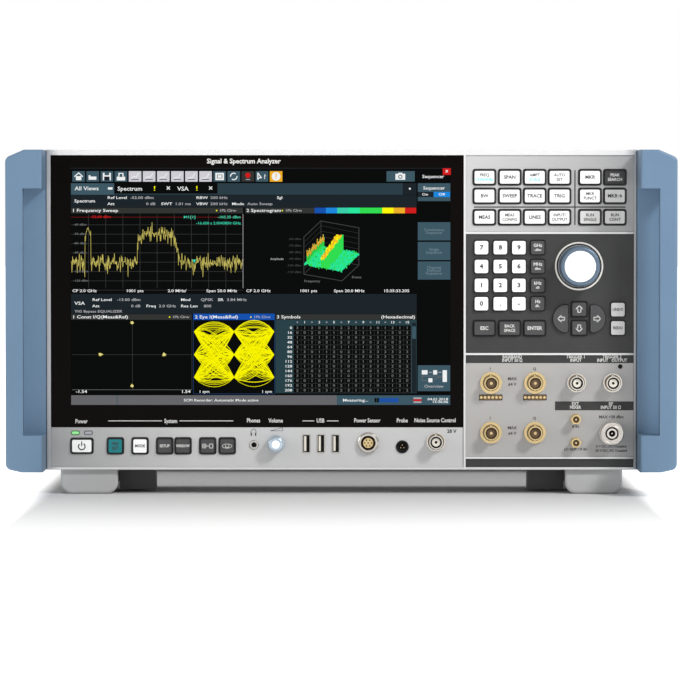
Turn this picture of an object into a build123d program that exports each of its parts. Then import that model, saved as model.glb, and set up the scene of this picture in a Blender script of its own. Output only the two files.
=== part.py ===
from build123d import *

import math
import os

# Bench signal analyser in a steel case with cast front handles.
# X runs to the right of the operator, Y away from the operator, Z up, in millimetres.
# The origin is on the table, under the middle of the whole instrument.

# Overall sizes
WIDTH = 462.0
DEPTH = 504.0
HEIGHT = 240.0
FOOT_HEIGHT = 17.0

# Case and front
CASE_HALF = 215.0
FRAME_HALF = 205.5
COVER_WALL = 1.5
HANDLE_REACH = 40.0
FRAME_DEPTH = 22.0
FRAME_EDGE = 3.1
PANEL_RECESS = 1.0
PANEL_THICK = 3.0
RIB = 1.4
BUMPER_DEPTH = 44.0
REAR_THICK = 2.5
FIT = 0.15

FRONT = -DEPTH / 2
REAR = DEPTH / 2
FRAME_Y = FRONT + HANDLE_REACH
PANEL_Y = FRAME_Y + PANEL_RECESS
PANEL_BACK = PANEL_Y + PANEL_THICK
CASE_Y = FRAME_Y + FRAME_DEPTH
REAR_Y = REAR - BUMPER_DEPTH
FRAME_LOW = FOOT_HEIGHT
COVER_TOP = HEIGHT - 1.0
COVER_SPLIT = FOOT_HEIGHT + 24.0

# Front layout: the display side, and the key column on its right
LEFT_EDGE = -(FRAME_HALF - FRAME_EDGE)
RIGHT_EDGE = FRAME_HALF - FRAME_EDGE + 1.1
TOP_EDGE = HEIGHT - 3.9
LOW_EDGE = FRAME_LOW + 1.8
COLUMN_X = 85.8
STRIP_TOP = 46.7
KEYPAD_TOP = 182.0
KEYPAD_LOW = 97.7
BAND_LOW = 25.4

# Keys
KEY_PROUD = 2.6
KEY_GAP = 0.35
KEY_TRAVEL = 1.2
KEY_LIP = 0.9
KEY_LIP_THICK = 1.0
KEY_ROUND = 1.3
BOARD_THICK = 1.6
BOARD_Y = PANEL_BACK + 4.6
SWITCH_HALF = 1.8

FUNCTION_KEY = (14.8, 9.9)
NUMBER_KEY = (9.5, 9.4)
EDIT_KEY = (14.8, 10.2)
ARROW_KEY = (10.6, 10.2)
SIDE_ARROW_KEY = (10.6, 19.3)
UNDO_KEY = (9.5, 9.6)
SYSTEM_KEY = (10.4, 10.4)
POWER_KEY = (14.6, 9.7)

FUNCTION_COLUMNS = (99.4, 117.0, 134.4, 151.6, 172.8, 190.1)
FUNCTION_ROWS = {"top": 220.7, "middle": 207.7, "bottom": 192.9}
NUMBER_COLUMNS = (97.4, 110.5, 123.4, 136.5)
NUMBER_ROWS = {"seven": 171.8, "four": 158.7, "one": 145.6, "zero": 132.8}
EDIT_ROW = 115.7
EDIT_KEYS = {"key_escape": 99.4, "key_backspace": 117.0, "key_enter": 134.4}
ARROW_X = 165.4
ARROW_Z = 122.4
ARROW_RISE = 6.5
ARROW_SIDE = 13.0
UNDO_X = 192.3
UNDO_ROWS = {"key_undo": 128.7, "key_redo": 115.9}
SYSTEM_ROW = 33.7
SYSTEM_KEYS = {
    "key_preset": -157.5,
    "key_mode": -140.3,
    "key_setup": -123.1,
    "key_display": -110.4,
    "key_file": -93.2,
    "key_print": -79.6,
}
POWER_X = -180.8

# Knobs
KNOB_X = 165.3
KNOB_Z = 158.9
KNOB_R = 14.6
KNOB_FACE_R = 12.6
KNOB_TALL = 19.0
COLLAR_R = 16.8
COLLAR_WALL = 1.1
SHAFT_R = 3.0
BUSH_WALL = 2.0
SHAFT_CLEARANCE = 0.05
VOLUME_X = -45.6
VOLUME_Z = 35.1
VOLUME_R = 5.9
VOLUME_TALL = 9.0
VOLUME_SHAFT_R = 2.0
KNOB_LIFT = 0.5

# Connectors
BNC_R = 4.8
BNC_BORE_R = 4.05
BNC_REACH = 10.6
BNC_FLANGE = 2.0
GOLD_BNC = [(x, z) for x in (104.1, 134.7) for z in (77.6, 42.9)]
GOLD_BNC_FLANGE_R = 7.5
NICKEL_BNC = [(163.7, 77.7), (188.8, 77.7), (65.8, 36.6)]
NICKEL_BNC_FLANGE_R = 6.6
SMA_PLACES = [(163.1, 52.4), (163.1, 36.1)]
SMA_R = 3.15
RF_PLACE = (187.9, 42.8)
RF_R = 7.85
RF_BORE_R = 4.3
SENSOR_PLACE = (18.6, 35.8)
SENSOR_R = 7.2
PROBE_PLACE = (42.4, 33.0)
PROBE_R = 4.4
PHONES_PLACE = (-60.9, 34.4)
PHONES_R = 3.1
PHONES_BORE_R = 1.75
USB_PLACES = [(x, 35.3) for x in (-24.4, -14.3, -4.0)]
USB_SIZE = (5.3, 12.7)
USB_WALL = 0.4
STRIP_PLACES = [(x, 67.5) for x in (104.0, 134.7)]
STRIP_SIZE = (16.0, 3.8)
LIGHT_PLACES = [(x, 42.8) for x in (-185.4, -176.3)]
LIGHT_SIZE = (5.9, 2.8)
SOCKET_DEPTH = 16.0

# Handles
GRIP_LOW = 42.8
GRIP_HIGH = 212.8
BAR_INNER = 219.0
BAR_DEPTH = 14.0
HANDLE_FLANGE = 5.0
HANDLE_FLANGE_LONG = 26.0
SCREW_R = 2.0
SCREW_HEAD_R = 3.6
SCREW_HEAD = 2.0
SCREW_ROWS = (45.0, 100.0, 156.0, 211.0)
REAR_SCREW_R = 1.5
REAR_SCREW_HEAD_R = 3.0

# Rear
FAN_HALF = 40.0
FAN_R = 37.0
FAN_DEEP = 25.0
FAN_PLACES = [(-150.0, 190.0), (-62.0, 190.0)]
REAR_BNC = [(x, z) for x in (60.0, 90.0, 120.0) for z in (60.0, 90.0)]
INLET_X = -148.0
INLET_Z = 52.0
ROCKER_X = -104.0
ROCKER_PIN_R = 1.5
ROCKER_PIVOT_Y = REAR_Y - 3.0
FAN_HUB_R = 16.0
FAN_PIN_R = 1.5

# Rear data ports on the computer board: centre x, width and height
DATA_PORTS = [(-172.0, 18.0, 15.0), (-143.0, 18.0, 15.0), (-112.0, 22.0, 9.0)]
PORT_Z = 120.0

# Modules inside the case
MODULE_Y = (-110.0, 170.0)
MODULE_FLOOR = FRAME_LOW + COVER_WALL + 3.0
MODULE_WALL = 2.5
SUPPLY_TOP = 104.0
RF_MODULE_TOP = 150.0

# Tilt legs
LEG_WIDE = 54.0
LEG_LONG = 52.0
LEG_THICK = 6.0
LEG_Z = 8.5
LEG_PIN_R = 2.5
FOOT_X = 175.9
FOOT_WIDE = 40.0
FOOT_LONG = 34.0
FOOT_Y = FRAME_Y + 4.0
LEG_PIVOT_Y = FOOT_Y + FOOT_LONG + 6.0
LEG_EAR = 6.0
LEG_GAP = 0.4


def block(x, y, z):
    """A box between two values on each axis."""
    middle = Pos((x[0] + x[1]) / 2, (y[0] + y[1]) / 2, (z[0] + z[1]) / 2)
    return middle * Box(x[1] - x[0], y[1] - y[0], z[1] - z[0])


def rod(x, z, radius, y0, y1):
    """A round bar along Y."""
    return Pos(x, (y0 + y1) / 2, z) * Rot(90, 0, 0) * Cylinder(radius, y1 - y0)


def cross_rod(y, z, radius, x0, x1):
    """A round bar along X."""
    return Pos((x0 + x1) / 2, y, z) * Rot(0, 90, 0) * Cylinder(radius, x1 - x0)


def slab(x, z, size, y0, y1, corner):
    """A plate facing the operator with rounded corners."""
    face = Plane.XZ * RectangleRounded(size[0], size[1], corner)
    return Pos(x, y1, z) * extrude(face, amount=y1 - y0)


def save(name, *solids):
    shape = solids[0] if len(solids) == 1 else Compound(children=list(solids))
    export_step(shape, f"parts/{name}.step")


def grow(size, by):
    return (size[0] + 2 * by, size[1] + 2 * by)


# Every key as name of its node: list of (x, z, size)
def key_groups():
    groups = {}
    for row, z in FUNCTION_ROWS.items():
        groups[f"function_keys_{row}"] = [(x, z, FUNCTION_KEY) for x in FUNCTION_COLUMNS]
    for row, z in NUMBER_ROWS.items():
        groups[f"number_keys_{row}"] = [(x, z, NUMBER_KEY) for x in NUMBER_COLUMNS]
    for name, x in EDIT_KEYS.items():
        groups[name] = [(x, EDIT_ROW, EDIT_KEY)]
    for name, z in UNDO_ROWS.items():
        groups[name] = [(UNDO_X, z, UNDO_KEY)]
    groups["key_up"] = [(ARROW_X, ARROW_Z + ARROW_RISE, ARROW_KEY)]
    groups["key_down"] = [(ARROW_X, ARROW_Z - ARROW_RISE, ARROW_KEY)]
    groups["key_power"] = [(POWER_X, SYSTEM_ROW, POWER_KEY)]
    for name, x in SYSTEM_KEYS.items():
        groups[name] = [(x, SYSTEM_ROW, SYSTEM_KEY)]
    return groups


def side_arrow_outline(side, by):
    """Face of a left or right arrow key: flat inside edge and a bowed outer edge."""
    half_wide = SIDE_ARROW_KEY[0] / 2 + by
    half_tall = SIDE_ARROW_KEY[1] / 2 + by
    inner = -side * half_wide
    shoulder = inner + side * 3.0
    edge = Line((inner, -half_tall), (inner, half_tall))
    top = Line((inner, half_tall), (shoulder, half_tall))
    bow = ThreePointArc((shoulder, half_tall), (side * half_wide, 0), (shoulder, -half_tall))
    bottom = Line((shoulder, -half_tall), (inner, -half_tall))
    face = make_face(edge + top + bow + bottom)
    return fillet(face.vertices(), KEY_ROUND)


def side_arrow_slab(side, by, y0, y1):
    face = Plane.XZ * side_arrow_outline(side, by)
    return Pos(ARROW_X + side * ARROW_SIDE, y1, ARROW_Z) * extrude(face, amount=y1 - y0)


def key(x, z, size):
    cap = slab(x, z, size, PANEL_Y - KEY_PROUD, PANEL_BACK + FIT, KEY_ROUND)
    cap = fillet(cap.faces().sort_by(Axis.Y)[0].edges(), 0.5)
    lip_y = PANEL_BACK + FIT
    lip = slab(x, z, grow(size, KEY_LIP), lip_y, lip_y + KEY_LIP_THICK, KEY_ROUND)
    return cap + lip


def side_arrow_key(side):
    cap = side_arrow_slab(side, 0, PANEL_Y - KEY_PROUD, PANEL_BACK + FIT)
    cap = fillet(cap.faces().sort_by(Axis.Y)[0].edges(), 0.5)
    lip_y = PANEL_BACK + FIT
    return cap + side_arrow_slab(side, KEY_LIP, lip_y, lip_y + KEY_LIP_THICK)


def key_holes(low, high):
    """Openings for the keys whose centres lie in a rectangle of the front."""
    holes = []
    for group in key_groups().values():
        for x, z, size in group:
            if low[0] < x < high[0] and low[1] < z < high[1]:
                hole = slab(x, z, grow(size, KEY_GAP), PANEL_Y - 1, PANEL_BACK + 1, KEY_ROUND)
                holes.append(hole)
    return holes


def panel(low, high, cuts):
    """A front panel between two corners, with its openings."""
    x = (low[0] + FIT, high[0] - FIT)
    z = (low[1] + FIT, high[1] - FIT)
    plate = block(x, (PANEL_Y, PANEL_BACK), z)
    for cut in cuts:
        plate -= cut
    return plate


def front_hole(place, radius):
    return rod(place[0], place[1], radius + FIT, PANEL_Y - 1, PANEL_BACK + 1)


def slab_hole(place, size, corner):
    return slab(place[0], place[1], grow(size, FIT), PANEL_Y - 1, PANEL_BACK + 1, corner)


# Front: frame, glass and panels
def front_frame():
    y = (FRAME_Y, CASE_Y)
    frame = block((-FRAME_HALF, FRAME_HALF), y, (FRAME_LOW, HEIGHT))
    frame = fillet(frame.faces().sort_by(Axis.Y)[0].edges(), 0.8)
    half_rib = RIB / 2
    frame -= block((LEFT_EDGE, COLUMN_X - half_rib), (y[0] - 1, y[1] + 1), (LOW_EDGE, TOP_EDGE))
    rows = [LOW_EDGE, BAND_LOW, KEYPAD_LOW, KEYPAD_TOP, TOP_EDGE]
    for lower, upper in zip(rows, rows[1:]):
        z0 = lower if lower == LOW_EDGE else lower + half_rib
        z1 = upper if upper == TOP_EDGE else upper - half_rib
        frame -= block((COLUMN_X + half_rib, RIGHT_EDGE), (y[0] - 1, y[0] + 6), (z0, z1))
    inner = block((COLUMN_X + half_rib, RIGHT_EDGE), (y[0] + 5, y[1] + 1), (LOW_EDGE, TOP_EDGE))
    return frame - inner


def display_glass():
    return panel((LEFT_EDGE, STRIP_TOP), (COLUMN_X - RIB / 2, TOP_EDGE), [])


def lcd_module():
    y = (PANEL_BACK + FIT, PANEL_BACK + 10)
    return block((LEFT_EDGE + 6, COLUMN_X - 6), y, (STRIP_TOP + 6, TOP_EDGE - 4))


def control_strip():
    low = (LEFT_EDGE, LOW_EDGE)
    high = (COLUMN_X - RIB / 2, STRIP_TOP)
    cuts = key_holes(low, high)
    cuts += [slab_hole(place, LIGHT_SIZE, 1.3) for place in LIGHT_PLACES]
    cuts += [slab_hole(place, USB_SIZE, 0.5) for place in USB_PLACES]
    cuts.append(front_hole(PHONES_PLACE, PHONES_R))
    cuts.append(front_hole(PROBE_PLACE, PROBE_R))
    cuts.append(front_hole(SENSOR_PLACE, SENSOR_R))
    cuts.append(front_hole(NICKEL_BNC[2], BNC_R + 0.8))
    cuts.append(front_hole((VOLUME_X, VOLUME_Z), VOLUME_SHAFT_R + BUSH_WALL))
    return panel(low, high, cuts)


def function_panel():
    low = (COLUMN_X + RIB / 2, KEYPAD_TOP + RIB / 2)
    high = (RIGHT_EDGE, TOP_EDGE)
    return panel(low, high, key_holes(low, high))


def keypad_panel():
    low = (COLUMN_X + RIB / 2, KEYPAD_LOW + RIB / 2)
    high = (RIGHT_EDGE, KEYPAD_TOP - RIB / 2)
    cuts = key_holes(low, high)
    for side in (-1, 1):
        cuts.append(side_arrow_slab(side, KEY_GAP, PANEL_Y - 1, PANEL_BACK + 1))
    cuts.append(front_hole((KNOB_X, KNOB_Z), SHAFT_R + BUSH_WALL))
    return panel(low, high, cuts)


def band_plate():
    """The dark plate under the connectors, without any openings."""
    return panel((COLUMN_X + RIB / 2, LOW_EDGE), (RIGHT_EDGE, BAND_LOW - RIB / 2), [])


def connector_panel():
    low = (COLUMN_X + RIB / 2, BAND_LOW + RIB / 2)
    high = (RIGHT_EDGE, KEYPAD_LOW - RIB / 2)
    cuts = [front_hole(place, BNC_R + 0.8) for place in GOLD_BNC + NICKEL_BNC[:2]]
    cuts += [front_hole(place, SMA_R) for place in SMA_PLACES]
    cuts.append(front_hole(RF_PLACE, RF_R))
    cuts += [slab_hole(place, STRIP_SIZE, 0.4) for place in STRIP_PLACES]
    return panel(low, high, cuts)


# Front connectors: each is turned on an axis along Y
def bnc(place, flange_r, face_y, outward=-1):
    """A bayonet jack on a wall, without its lugs; outward is -1 on the front and 1 on the rear."""
    x, z = place

    def ring(radius, start, end):
        low, high = sorted((face_y + outward * start, face_y + outward * end))
        return rod(x, z, radius, low, high)

    body = ring(flange_r, 0, BNC_FLANGE) + ring(BNC_R, 0, BNC_REACH)
    body += ring(BNC_R + 0.8, -SOCKET_DEPTH, 0)
    body -= ring(BNC_BORE_R, 2.2, BNC_REACH + 1)
    body += ring(2.4, 2.0, BNC_REACH - 2.0)
    body -= ring(0.7, BNC_REACH - 6.0, BNC_REACH)
    return body


def sma(place):
    x, z = place
    nut = extrude(Plane.XZ * RegularPolygon(SMA_R + 0.75, 6), amount=1.8)
    body = Pos(x, PANEL_Y, z) * nut
    body += rod(x, z, SMA_R, PANEL_Y - 8.5, PANEL_Y + SOCKET_DEPTH)
    body -= rod(x, z, 2.3, PANEL_Y - 9.5, PANEL_Y - 5.0)
    return body + rod(x, z, 0.65, PANEL_Y - 7.6, PANEL_Y - 4.0)


def rf_input():
    x, z = RF_PLACE
    body = rod(x, z, RF_R + 0.45, PANEL_Y - 2.5, PANEL_Y)
    body += rod(x, z, RF_R, PANEL_Y - 12.5, PANEL_Y + SOCKET_DEPTH)
    body -= rod(x, z, RF_BORE_R, PANEL_Y - 13.5, PANEL_Y - 4.0)
    return body + rod(x, z, 1.6, PANEL_Y - 11.0, PANEL_Y - 3.0)


def sensor_socket():
    x, z = SENSOR_PLACE
    body = rod(x, z, SENSOR_R, PANEL_Y - 3.5, PANEL_Y + SOCKET_DEPTH)
    body -= rod(x, z, SENSOR_R - 1.4, PANEL_Y - 4.5, PANEL_Y + 4.0)
    body += rod(x, z, SENSOR_R - 2.4, PANEL_Y - 1.5, PANEL_Y + 5.0)
    for turn in range(6):
        angle = math.radians(60 * turn)
        pin = (x + 2.9 * math.cos(angle), z + 2.9 * math.sin(angle))
        body -= rod(pin[0], pin[1], 0.5, PANEL_Y - 2.5, PANEL_Y + 2.0)
    return body


def small_jack(place, radius, bore_r, depth):
    x, z = place
    body = rod(x, z, radius, PANEL_Y - 1.0, PANEL_Y + depth + 3)
    return body - rod(x, z, bore_r, PANEL_Y - 2.0, PANEL_Y + depth)


def usb_port(place):
    x, z = place
    front = PANEL_Y - 0.6
    shell = slab(x, z, USB_SIZE, front, front + SOCKET_DEPTH, 0.45)
    hollow = slab(x, z, grow(USB_SIZE, -USB_WALL), front - 1, front + SOCKET_DEPTH - 2, 0.2)
    tongue_x = x - USB_SIZE[0] / 2 + 1.6
    tongue_y = (front + 3, front + SOCKET_DEPTH - 1)
    tongue = block((tongue_x - 0.9, tongue_x + 0.9), tongue_y, (z - 5.2, z + 5.2))
    return shell - hollow + tongue


# Handles: an upright grip bar on two arms, with a flange down the case's side
def handle(side):
    top, low = HEIGHT - 0.5, FRAME_LOW + 0.3
    outer = WIDTH / 2
    y_base = FRAME_Y - 2
    outline = Polyline(
        (FRAME_HALF + FIT, low),
        (outer - 11, low),
        (outer, low + 2.4),
        (outer, top - 5.6),
        (outer - 13, top),
        (FRAME_HALF + FIT, top),
        (FRAME_HALF + FIT, low),
    )
    face = make_face(outline)
    corners = face.vertices().filter_by_position(Axis.X, outer - 0.1, outer + 0.1)
    face = fillet(corners, 4.5)
    body = Pos(0, CASE_Y, 0) * extrude(Plane.XZ * face, amount=CASE_Y - FRONT)
    front_edges = body.faces().sort_by(Axis.Y)[0].edges()
    body = fillet(front_edges, 1.6)
    past = 10
    grip = (GRIP_LOW, GRIP_HIGH)
    body -= block((FRAME_HALF - past, BAR_INNER), (FRONT - past, y_base), grip)
    body -= block((FRAME_HALF - past, outer + past), (FRONT + BAR_DEPTH, y_base), grip)
    flange_x = (CASE_HALF + FIT, CASE_HALF + FIT + HANDLE_FLANGE)
    flange_y = (CASE_Y - 1, CASE_Y + HANDLE_FLANGE_LONG)
    body += block(flange_x, flange_y, (low + 3, top - 3))
    for y, z in handle_screw_places():
        body -= cross_rod(y, z, SCREW_R + FIT, CASE_HALF - 1, outer)
    bar_y = FRONT + BAR_DEPTH
    bar = body.edges().filter_by(Axis.Z).filter_by_position(Axis.Y, bar_y - 0.1, bar_y + 0.1)
    body = fillet(bar, 2.5)
    return body if side > 0 else mirror(body, about=Plane.YZ)


def handle_screw_places():
    y = CASE_Y + HANDLE_FLANGE_LONG / 2
    return [(y, z) for z in SCREW_ROWS]


def rear_screw_places():
    return [(x, z) for x in (-160.0, -15.0, 60.0, 160.0) for z in (30.0, 233.5)]


def screws():
    made = []
    outer = CASE_HALF + FIT + HANDLE_FLANGE
    for side in (-1, 1):
        for y, z in handle_screw_places():
            head = sorted((side * outer, side * (outer + SCREW_HEAD)))
            shank = sorted((side * (CASE_HALF - 8), side * outer))
            screw = cross_rod(y, z, SCREW_HEAD_R, *head) + cross_rod(y, z, SCREW_R, *shank)
            made.append(screw)
    for x, z in rear_screw_places():
        screw = rod(x, z, REAR_SCREW_HEAD_R, REAR_Y, REAR_Y + 1.6)
        made.append(screw + rod(x, z, REAR_SCREW_R, REAR_Y - 6, REAR_Y))
    return made


# Case
def top_cover():
    past = 5
    y = (CASE_Y + FIT, REAR_Y)
    cover = block((-CASE_HALF, CASE_HALF), y, (COVER_SPLIT, COVER_TOP))
    cover = fillet(cover.edges().filter_by(Axis.Y).group_by(Axis.Z)[-1], 3)
    inside = CASE_HALF - COVER_WALL
    through = (y[0] - past, y[1] + past)
    cover -= block((-inside, inside), through, (COVER_SPLIT - past, COVER_TOP - COVER_WALL))
    for row in (90.0, 150.0):
        for place in range(16):
            slot_y = -110.0 + 14.0 * place
            slot_x = (-CASE_HALF - past, CASE_HALF + past)
            cover -= block(slot_x, (slot_y - 2, slot_y + 2), (row, row + 36))
    for screw_y, z in handle_screw_places():
        cover -= cross_rod(screw_y, z, SCREW_R + FIT, -CASE_HALF - past, CASE_HALF + past)
    return cover


def bottom_cover():
    past = 5
    y = (CASE_Y + FIT, REAR_Y)
    cover = block((-CASE_HALF, CASE_HALF), y, (FRAME_LOW, COVER_SPLIT - FIT))
    cover = fillet(cover.edges().filter_by(Axis.Y).group_by(Axis.Z)[0], 3)
    inside = CASE_HALF - COVER_WALL
    hollow_z = (FRAME_LOW + COVER_WALL, COVER_SPLIT + past)
    return cover - block((-inside, inside), (y[0] - past, y[1] + past), hollow_z)


def rear_panel():
    half = CASE_HALF - COVER_WALL - FIT
    z = (FRAME_LOW + COVER_WALL + FIT, COVER_TOP - COVER_WALL - FIT)
    y = (REAR_Y - REAR_THICK, REAR_Y)
    plate = block((-half, half), y, z)
    past = 2
    through = (y[0] - past, y[1] + past)
    for x, fan_z in FAN_PLACES:
        for step in range(-4, 5):
            offset = 8.0 * step
            reach = math.sqrt((FAN_R - 2) ** 2 - offset**2)
            slot_z = (fan_z + offset - 2.6, fan_z + offset + 2.6)
            plate -= block((x - reach, x + reach), through, slot_z)
    for place in REAR_BNC:
        plate -= rod(place[0], place[1], BNC_R + 0.8 + FIT, *through)
    for place in rear_screw_places():
        plate -= rod(place[0], place[1], REAR_SCREW_R + FIT, *through)
    for x, half_wide in ((INLET_X, 15.2), (ROCKER_X, 8.2)):
        plate -= block((x - half_wide, x + half_wide), through, (INLET_Z - 12.2, INLET_Z + 12.2))
    for x, wide, tall in DATA_PORTS:
        cut_x = (x - wide / 2 - FIT, x + wide / 2 + FIT)
        plate -= block(cut_x, through, (PORT_Z - 1 - FIT, PORT_Z + tall + FIT))
    return plate


def chassis():
    half = CASE_HALF - COVER_WALL - 1.0
    y = (CASE_Y + 1, REAR_Y - REAR_THICK - 1)
    floor_z = FRAME_LOW + COVER_WALL + 1.0
    tray = block((-half, half), y, (floor_z, floor_z + 60))
    tray -= block((-half + 2, half - 2), (y[0] + 2, y[1] + 1), (floor_z + 2, floor_z + 61))
    wall = block((-half + 2, half - 2), (MODULE_Y[0] - 12, MODULE_Y[0] - 10), (floor_z + 1, COVER_TOP - 12))
    wall -= block((-60, 40), (MODULE_Y[0] - 14, MODULE_Y[0] - 8), (110, 190))
    tray -= block((-half + 8, half - 8), (y[0] - 1, y[0] + 3), (floor_z + 8, floor_z + 61))
    body = tray + wall
    for side in (-1, 1):
        rail_x = sorted((side * half, side * (half - 10)))
        body += block(tuple(rail_x), (y[0], y[1]), (floor_z + 50, floor_z + 60))
    for screw_y, z in handle_screw_places():
        body -= cross_rod(screw_y, z, SCREW_R + FIT, -CASE_HALF, CASE_HALF)
    return body


def open_below(x, y, top):
    """A folded sheet box that stands on the chassis floor and is open underneath."""
    wall = MODULE_WALL
    inside_x = (x[0] + wall, x[1] - wall)
    inside_y = (y[0] + wall, y[1] - wall)
    outside = block(x, y, (MODULE_FLOOR, top))
    return outside - block(inside_x, inside_y, (MODULE_FLOOR - 1, top - wall))


def power_supply():
    box = open_below((-198, -88), (MODULE_Y[0] + 60, MODULE_Y[1]), SUPPLY_TOP)
    for place in range(8):
        slot_y = MODULE_Y[0] + 80 + 22 * place
        box -= block((-180, -106), (slot_y, slot_y + 8), (SUPPLY_TOP - 4, SUPPLY_TOP + 1))
    return box


def rf_module():
    box = open_below((56, 198), MODULE_Y, RF_MODULE_TOP)
    for place in range(3):
        low = MODULE_Y[0] + 8 + 90 * place
        box += block((64, 190), (low, low + 80), (RF_MODULE_TOP - 1, RF_MODULE_TOP + 8))
    return box


def computer_board():
    board = block((-198, -30), (MODULE_Y[0] + 40, REAR_Y - 14), (PORT_Z - 3, PORT_Z - 1))
    sink = block((-140, -70), (-10, 60), (PORT_Z - 1.5, PORT_Z + 4))
    for fin in range(12):
        x = -138 + 6 * fin
        sink += block((x, x + 2), (-10, 60), (PORT_Z + 3, PORT_Z + 24))
    board += sink
    for x in (-190, -96):
        for y in (MODULE_Y[0] + 70, MODULE_Y[1] - 10):
            board += Pos(x, y, (SUPPLY_TOP + PORT_Z - 3) / 2) * Cylinder(3, PORT_Z - 3 - SUPPLY_TOP)
    return board


def rear_port(x, wide, tall):
    """A socket shell that stands on the computer board and shows through the rear panel."""
    shell_x = (x - wide / 2, x + wide / 2)
    shell = block(shell_x, (REAR_Y - 30, REAR_Y + 0.5), (PORT_Z - 1, PORT_Z + tall))
    hollow_x = (x - wide / 2 + 1, x + wide / 2 - 1)
    return shell - block(hollow_x, (REAR_Y - 12, REAR_Y + 2), (PORT_Z, PORT_Z + tall - 1))


def front_board():
    y = (BOARD_Y, BOARD_Y + BOARD_THICK)
    upper = block((COLUMN_X + 2, RIGHT_EDGE - 2), y, (KEYPAD_LOW + 2, TOP_EDGE - 2))
    upper -= rod(KNOB_X, KNOB_Z, SHAFT_R + BUSH_WALL + FIT, y[0] - 1, y[1] + 1)
    lower = block((LEFT_EDGE + 2, -66), y, (LOW_EDGE + 2, STRIP_TOP - 1))
    places = [(x, z) for group in key_groups().values() for x, z, size in group]
    places += [(ARROW_X - ARROW_SIDE, ARROW_Z), (ARROW_X + ARROW_SIDE, ARROW_Z)]
    top_y = PANEL_BACK + FIT + KEY_LIP_THICK + KEY_TRAVEL + 0.2
    for x, z in places:
        switch_x = (x - SWITCH_HALF, x + SWITCH_HALF)
        switch = block(switch_x, (top_y, y[1]), (z - SWITCH_HALF, z + SWITCH_HALF))
        if z > KEYPAD_LOW:
            upper += switch
        else:
            lower += switch
    return upper, lower


# Knobs and what they turn in
def bush(x, z, shaft_r, long):
    wall_y = (PANEL_Y - 1, BOARD_Y + BOARD_THICK + 1)
    body = rod(x, z, shaft_r + BUSH_WALL, *wall_y)
    half = shaft_r + BUSH_WALL + 3
    body += block((x - half, x + half), (wall_y[1], wall_y[1] + long), (z - half, z + half))
    return body - rod(x, z, shaft_r + SHAFT_CLEARANCE, wall_y[0] - 1, wall_y[1] + long - 1)


def knob_mounts():
    collar = rod(KNOB_X, KNOB_Z, COLLAR_R, PANEL_Y - 1.4, PANEL_Y)
    collar -= rod(KNOB_X, KNOB_Z, COLLAR_R - COLLAR_WALL, PANEL_Y - 2.4, PANEL_Y + 1)
    main = bush(KNOB_X, KNOB_Z, SHAFT_R, 8)
    return main, bush(VOLUME_X, VOLUME_Z, VOLUME_SHAFT_R, 5), collar


def knob(x, z, base_r, face_r, tall, shaft_r, reach):
    back = PANEL_Y - 1 - KNOB_LIFT
    cone = Pos(x, back - tall / 2, z) * Rot(90, 0, 0) * Cone(base_r, face_r, tall)
    front_edge = cone.edges().sort_by(Axis.Y)[0]
    body = fillet(front_edge, 1.2)
    return body + rod(x, z, shaft_r, back - 1, back + reach)


# Fans
def fan_frame(place):
    x, z = place
    y = (REAR_Y - REAR_THICK - FAN_DEEP - 1, REAR_Y - REAR_THICK - 1)
    frame = block((x - FAN_HALF, x + FAN_HALF), y, (z - FAN_HALF, z + FAN_HALF))
    frame = fillet(frame.edges().filter_by(Axis.Y), 5)
    frame -= rod(x, z, FAN_R + 1, y[0] - 1, y[1] + 1)
    frame += rod(x, z, FAN_HUB_R, y[1] - 4, y[1])
    for turn in range(3):
        arm = block((0, FAN_R + 2), (y[1] - 3, y[1]), (-2, 2))
        frame += Pos(x, 0, z) * Rot(0, 90 + 120 * turn, 0) * arm
    return frame - rod(x, z, FAN_PIN_R + SHAFT_CLEARANCE, y[1] - 5, y[1] + 1)


def fan_rotor(place):
    x, z = place
    y = (REAR_Y - REAR_THICK - FAN_DEEP + 1, REAR_Y - REAR_THICK - 7)
    rotor = rod(x, z, FAN_HUB_R, *y) + rod(x, z, FAN_PIN_R, y[0] + 1, y[1] + 5)
    middle = (y[0] + y[1]) / 2
    blade = block((14, FAN_R - 1), (-1, 1), (-8, 8))
    for turn in range(7):
        rotor += Pos(x, middle, z) * Rot(0, turn * 360 / 7, 0) * Rot(38, 0, 0) * blade
    limit = rod(x, z, FAN_R - 0.5, *y) + rod(x, z, FAN_PIN_R, y[0], y[1] + 6)
    return rotor & limit


# Rear
def mains_inlet():
    y = (REAR_Y - 24, REAR_Y + 2)
    shell = block((INLET_X - 15, INLET_X + 15), (y[0], REAR_Y), (INLET_Z - 12, INLET_Z + 12))
    shell += slab(INLET_X, INLET_Z, (46, 28), REAR_Y, y[1], 4)
    mouth_x = (INLET_X - 12.2, INLET_X + 12.2)
    shell -= block(mouth_x, (y[0] + 4, y[1] + 1), (INLET_Z - 8.2, INLET_Z + 8.2))
    for dx, dz in ((-7, -2.5), (0, 1.5), (7, -2.5)):
        pin_x = (INLET_X + dx - 1, INLET_X + dx + 1)
        shell += block(pin_x, (y[0] + 3, y[1] - 6), (INLET_Z + dz - 2, INLET_Z + dz + 2))
    bezel = slab(ROCKER_X, INLET_Z, (18, 28), REAR_Y, y[1], 2)
    body_x = (ROCKER_X - 8, ROCKER_X + 8)
    bezel += block(body_x, (REAR_Y - 12, REAR_Y), (INLET_Z - 12, INLET_Z + 12))
    hole_x = (ROCKER_X - 6.5, ROCKER_X + 6.5)
    bezel -= block(hole_x, (REAR_Y - 10, y[1] + 1), (INLET_Z - 11, INLET_Z + 11))
    pin_r = ROCKER_PIN_R + SHAFT_CLEARANCE
    pivot = cross_rod(ROCKER_PIVOT_Y, INLET_Z, pin_r, ROCKER_X - 7.6, ROCKER_X + 7.6)
    return shell, bezel - pivot


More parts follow.
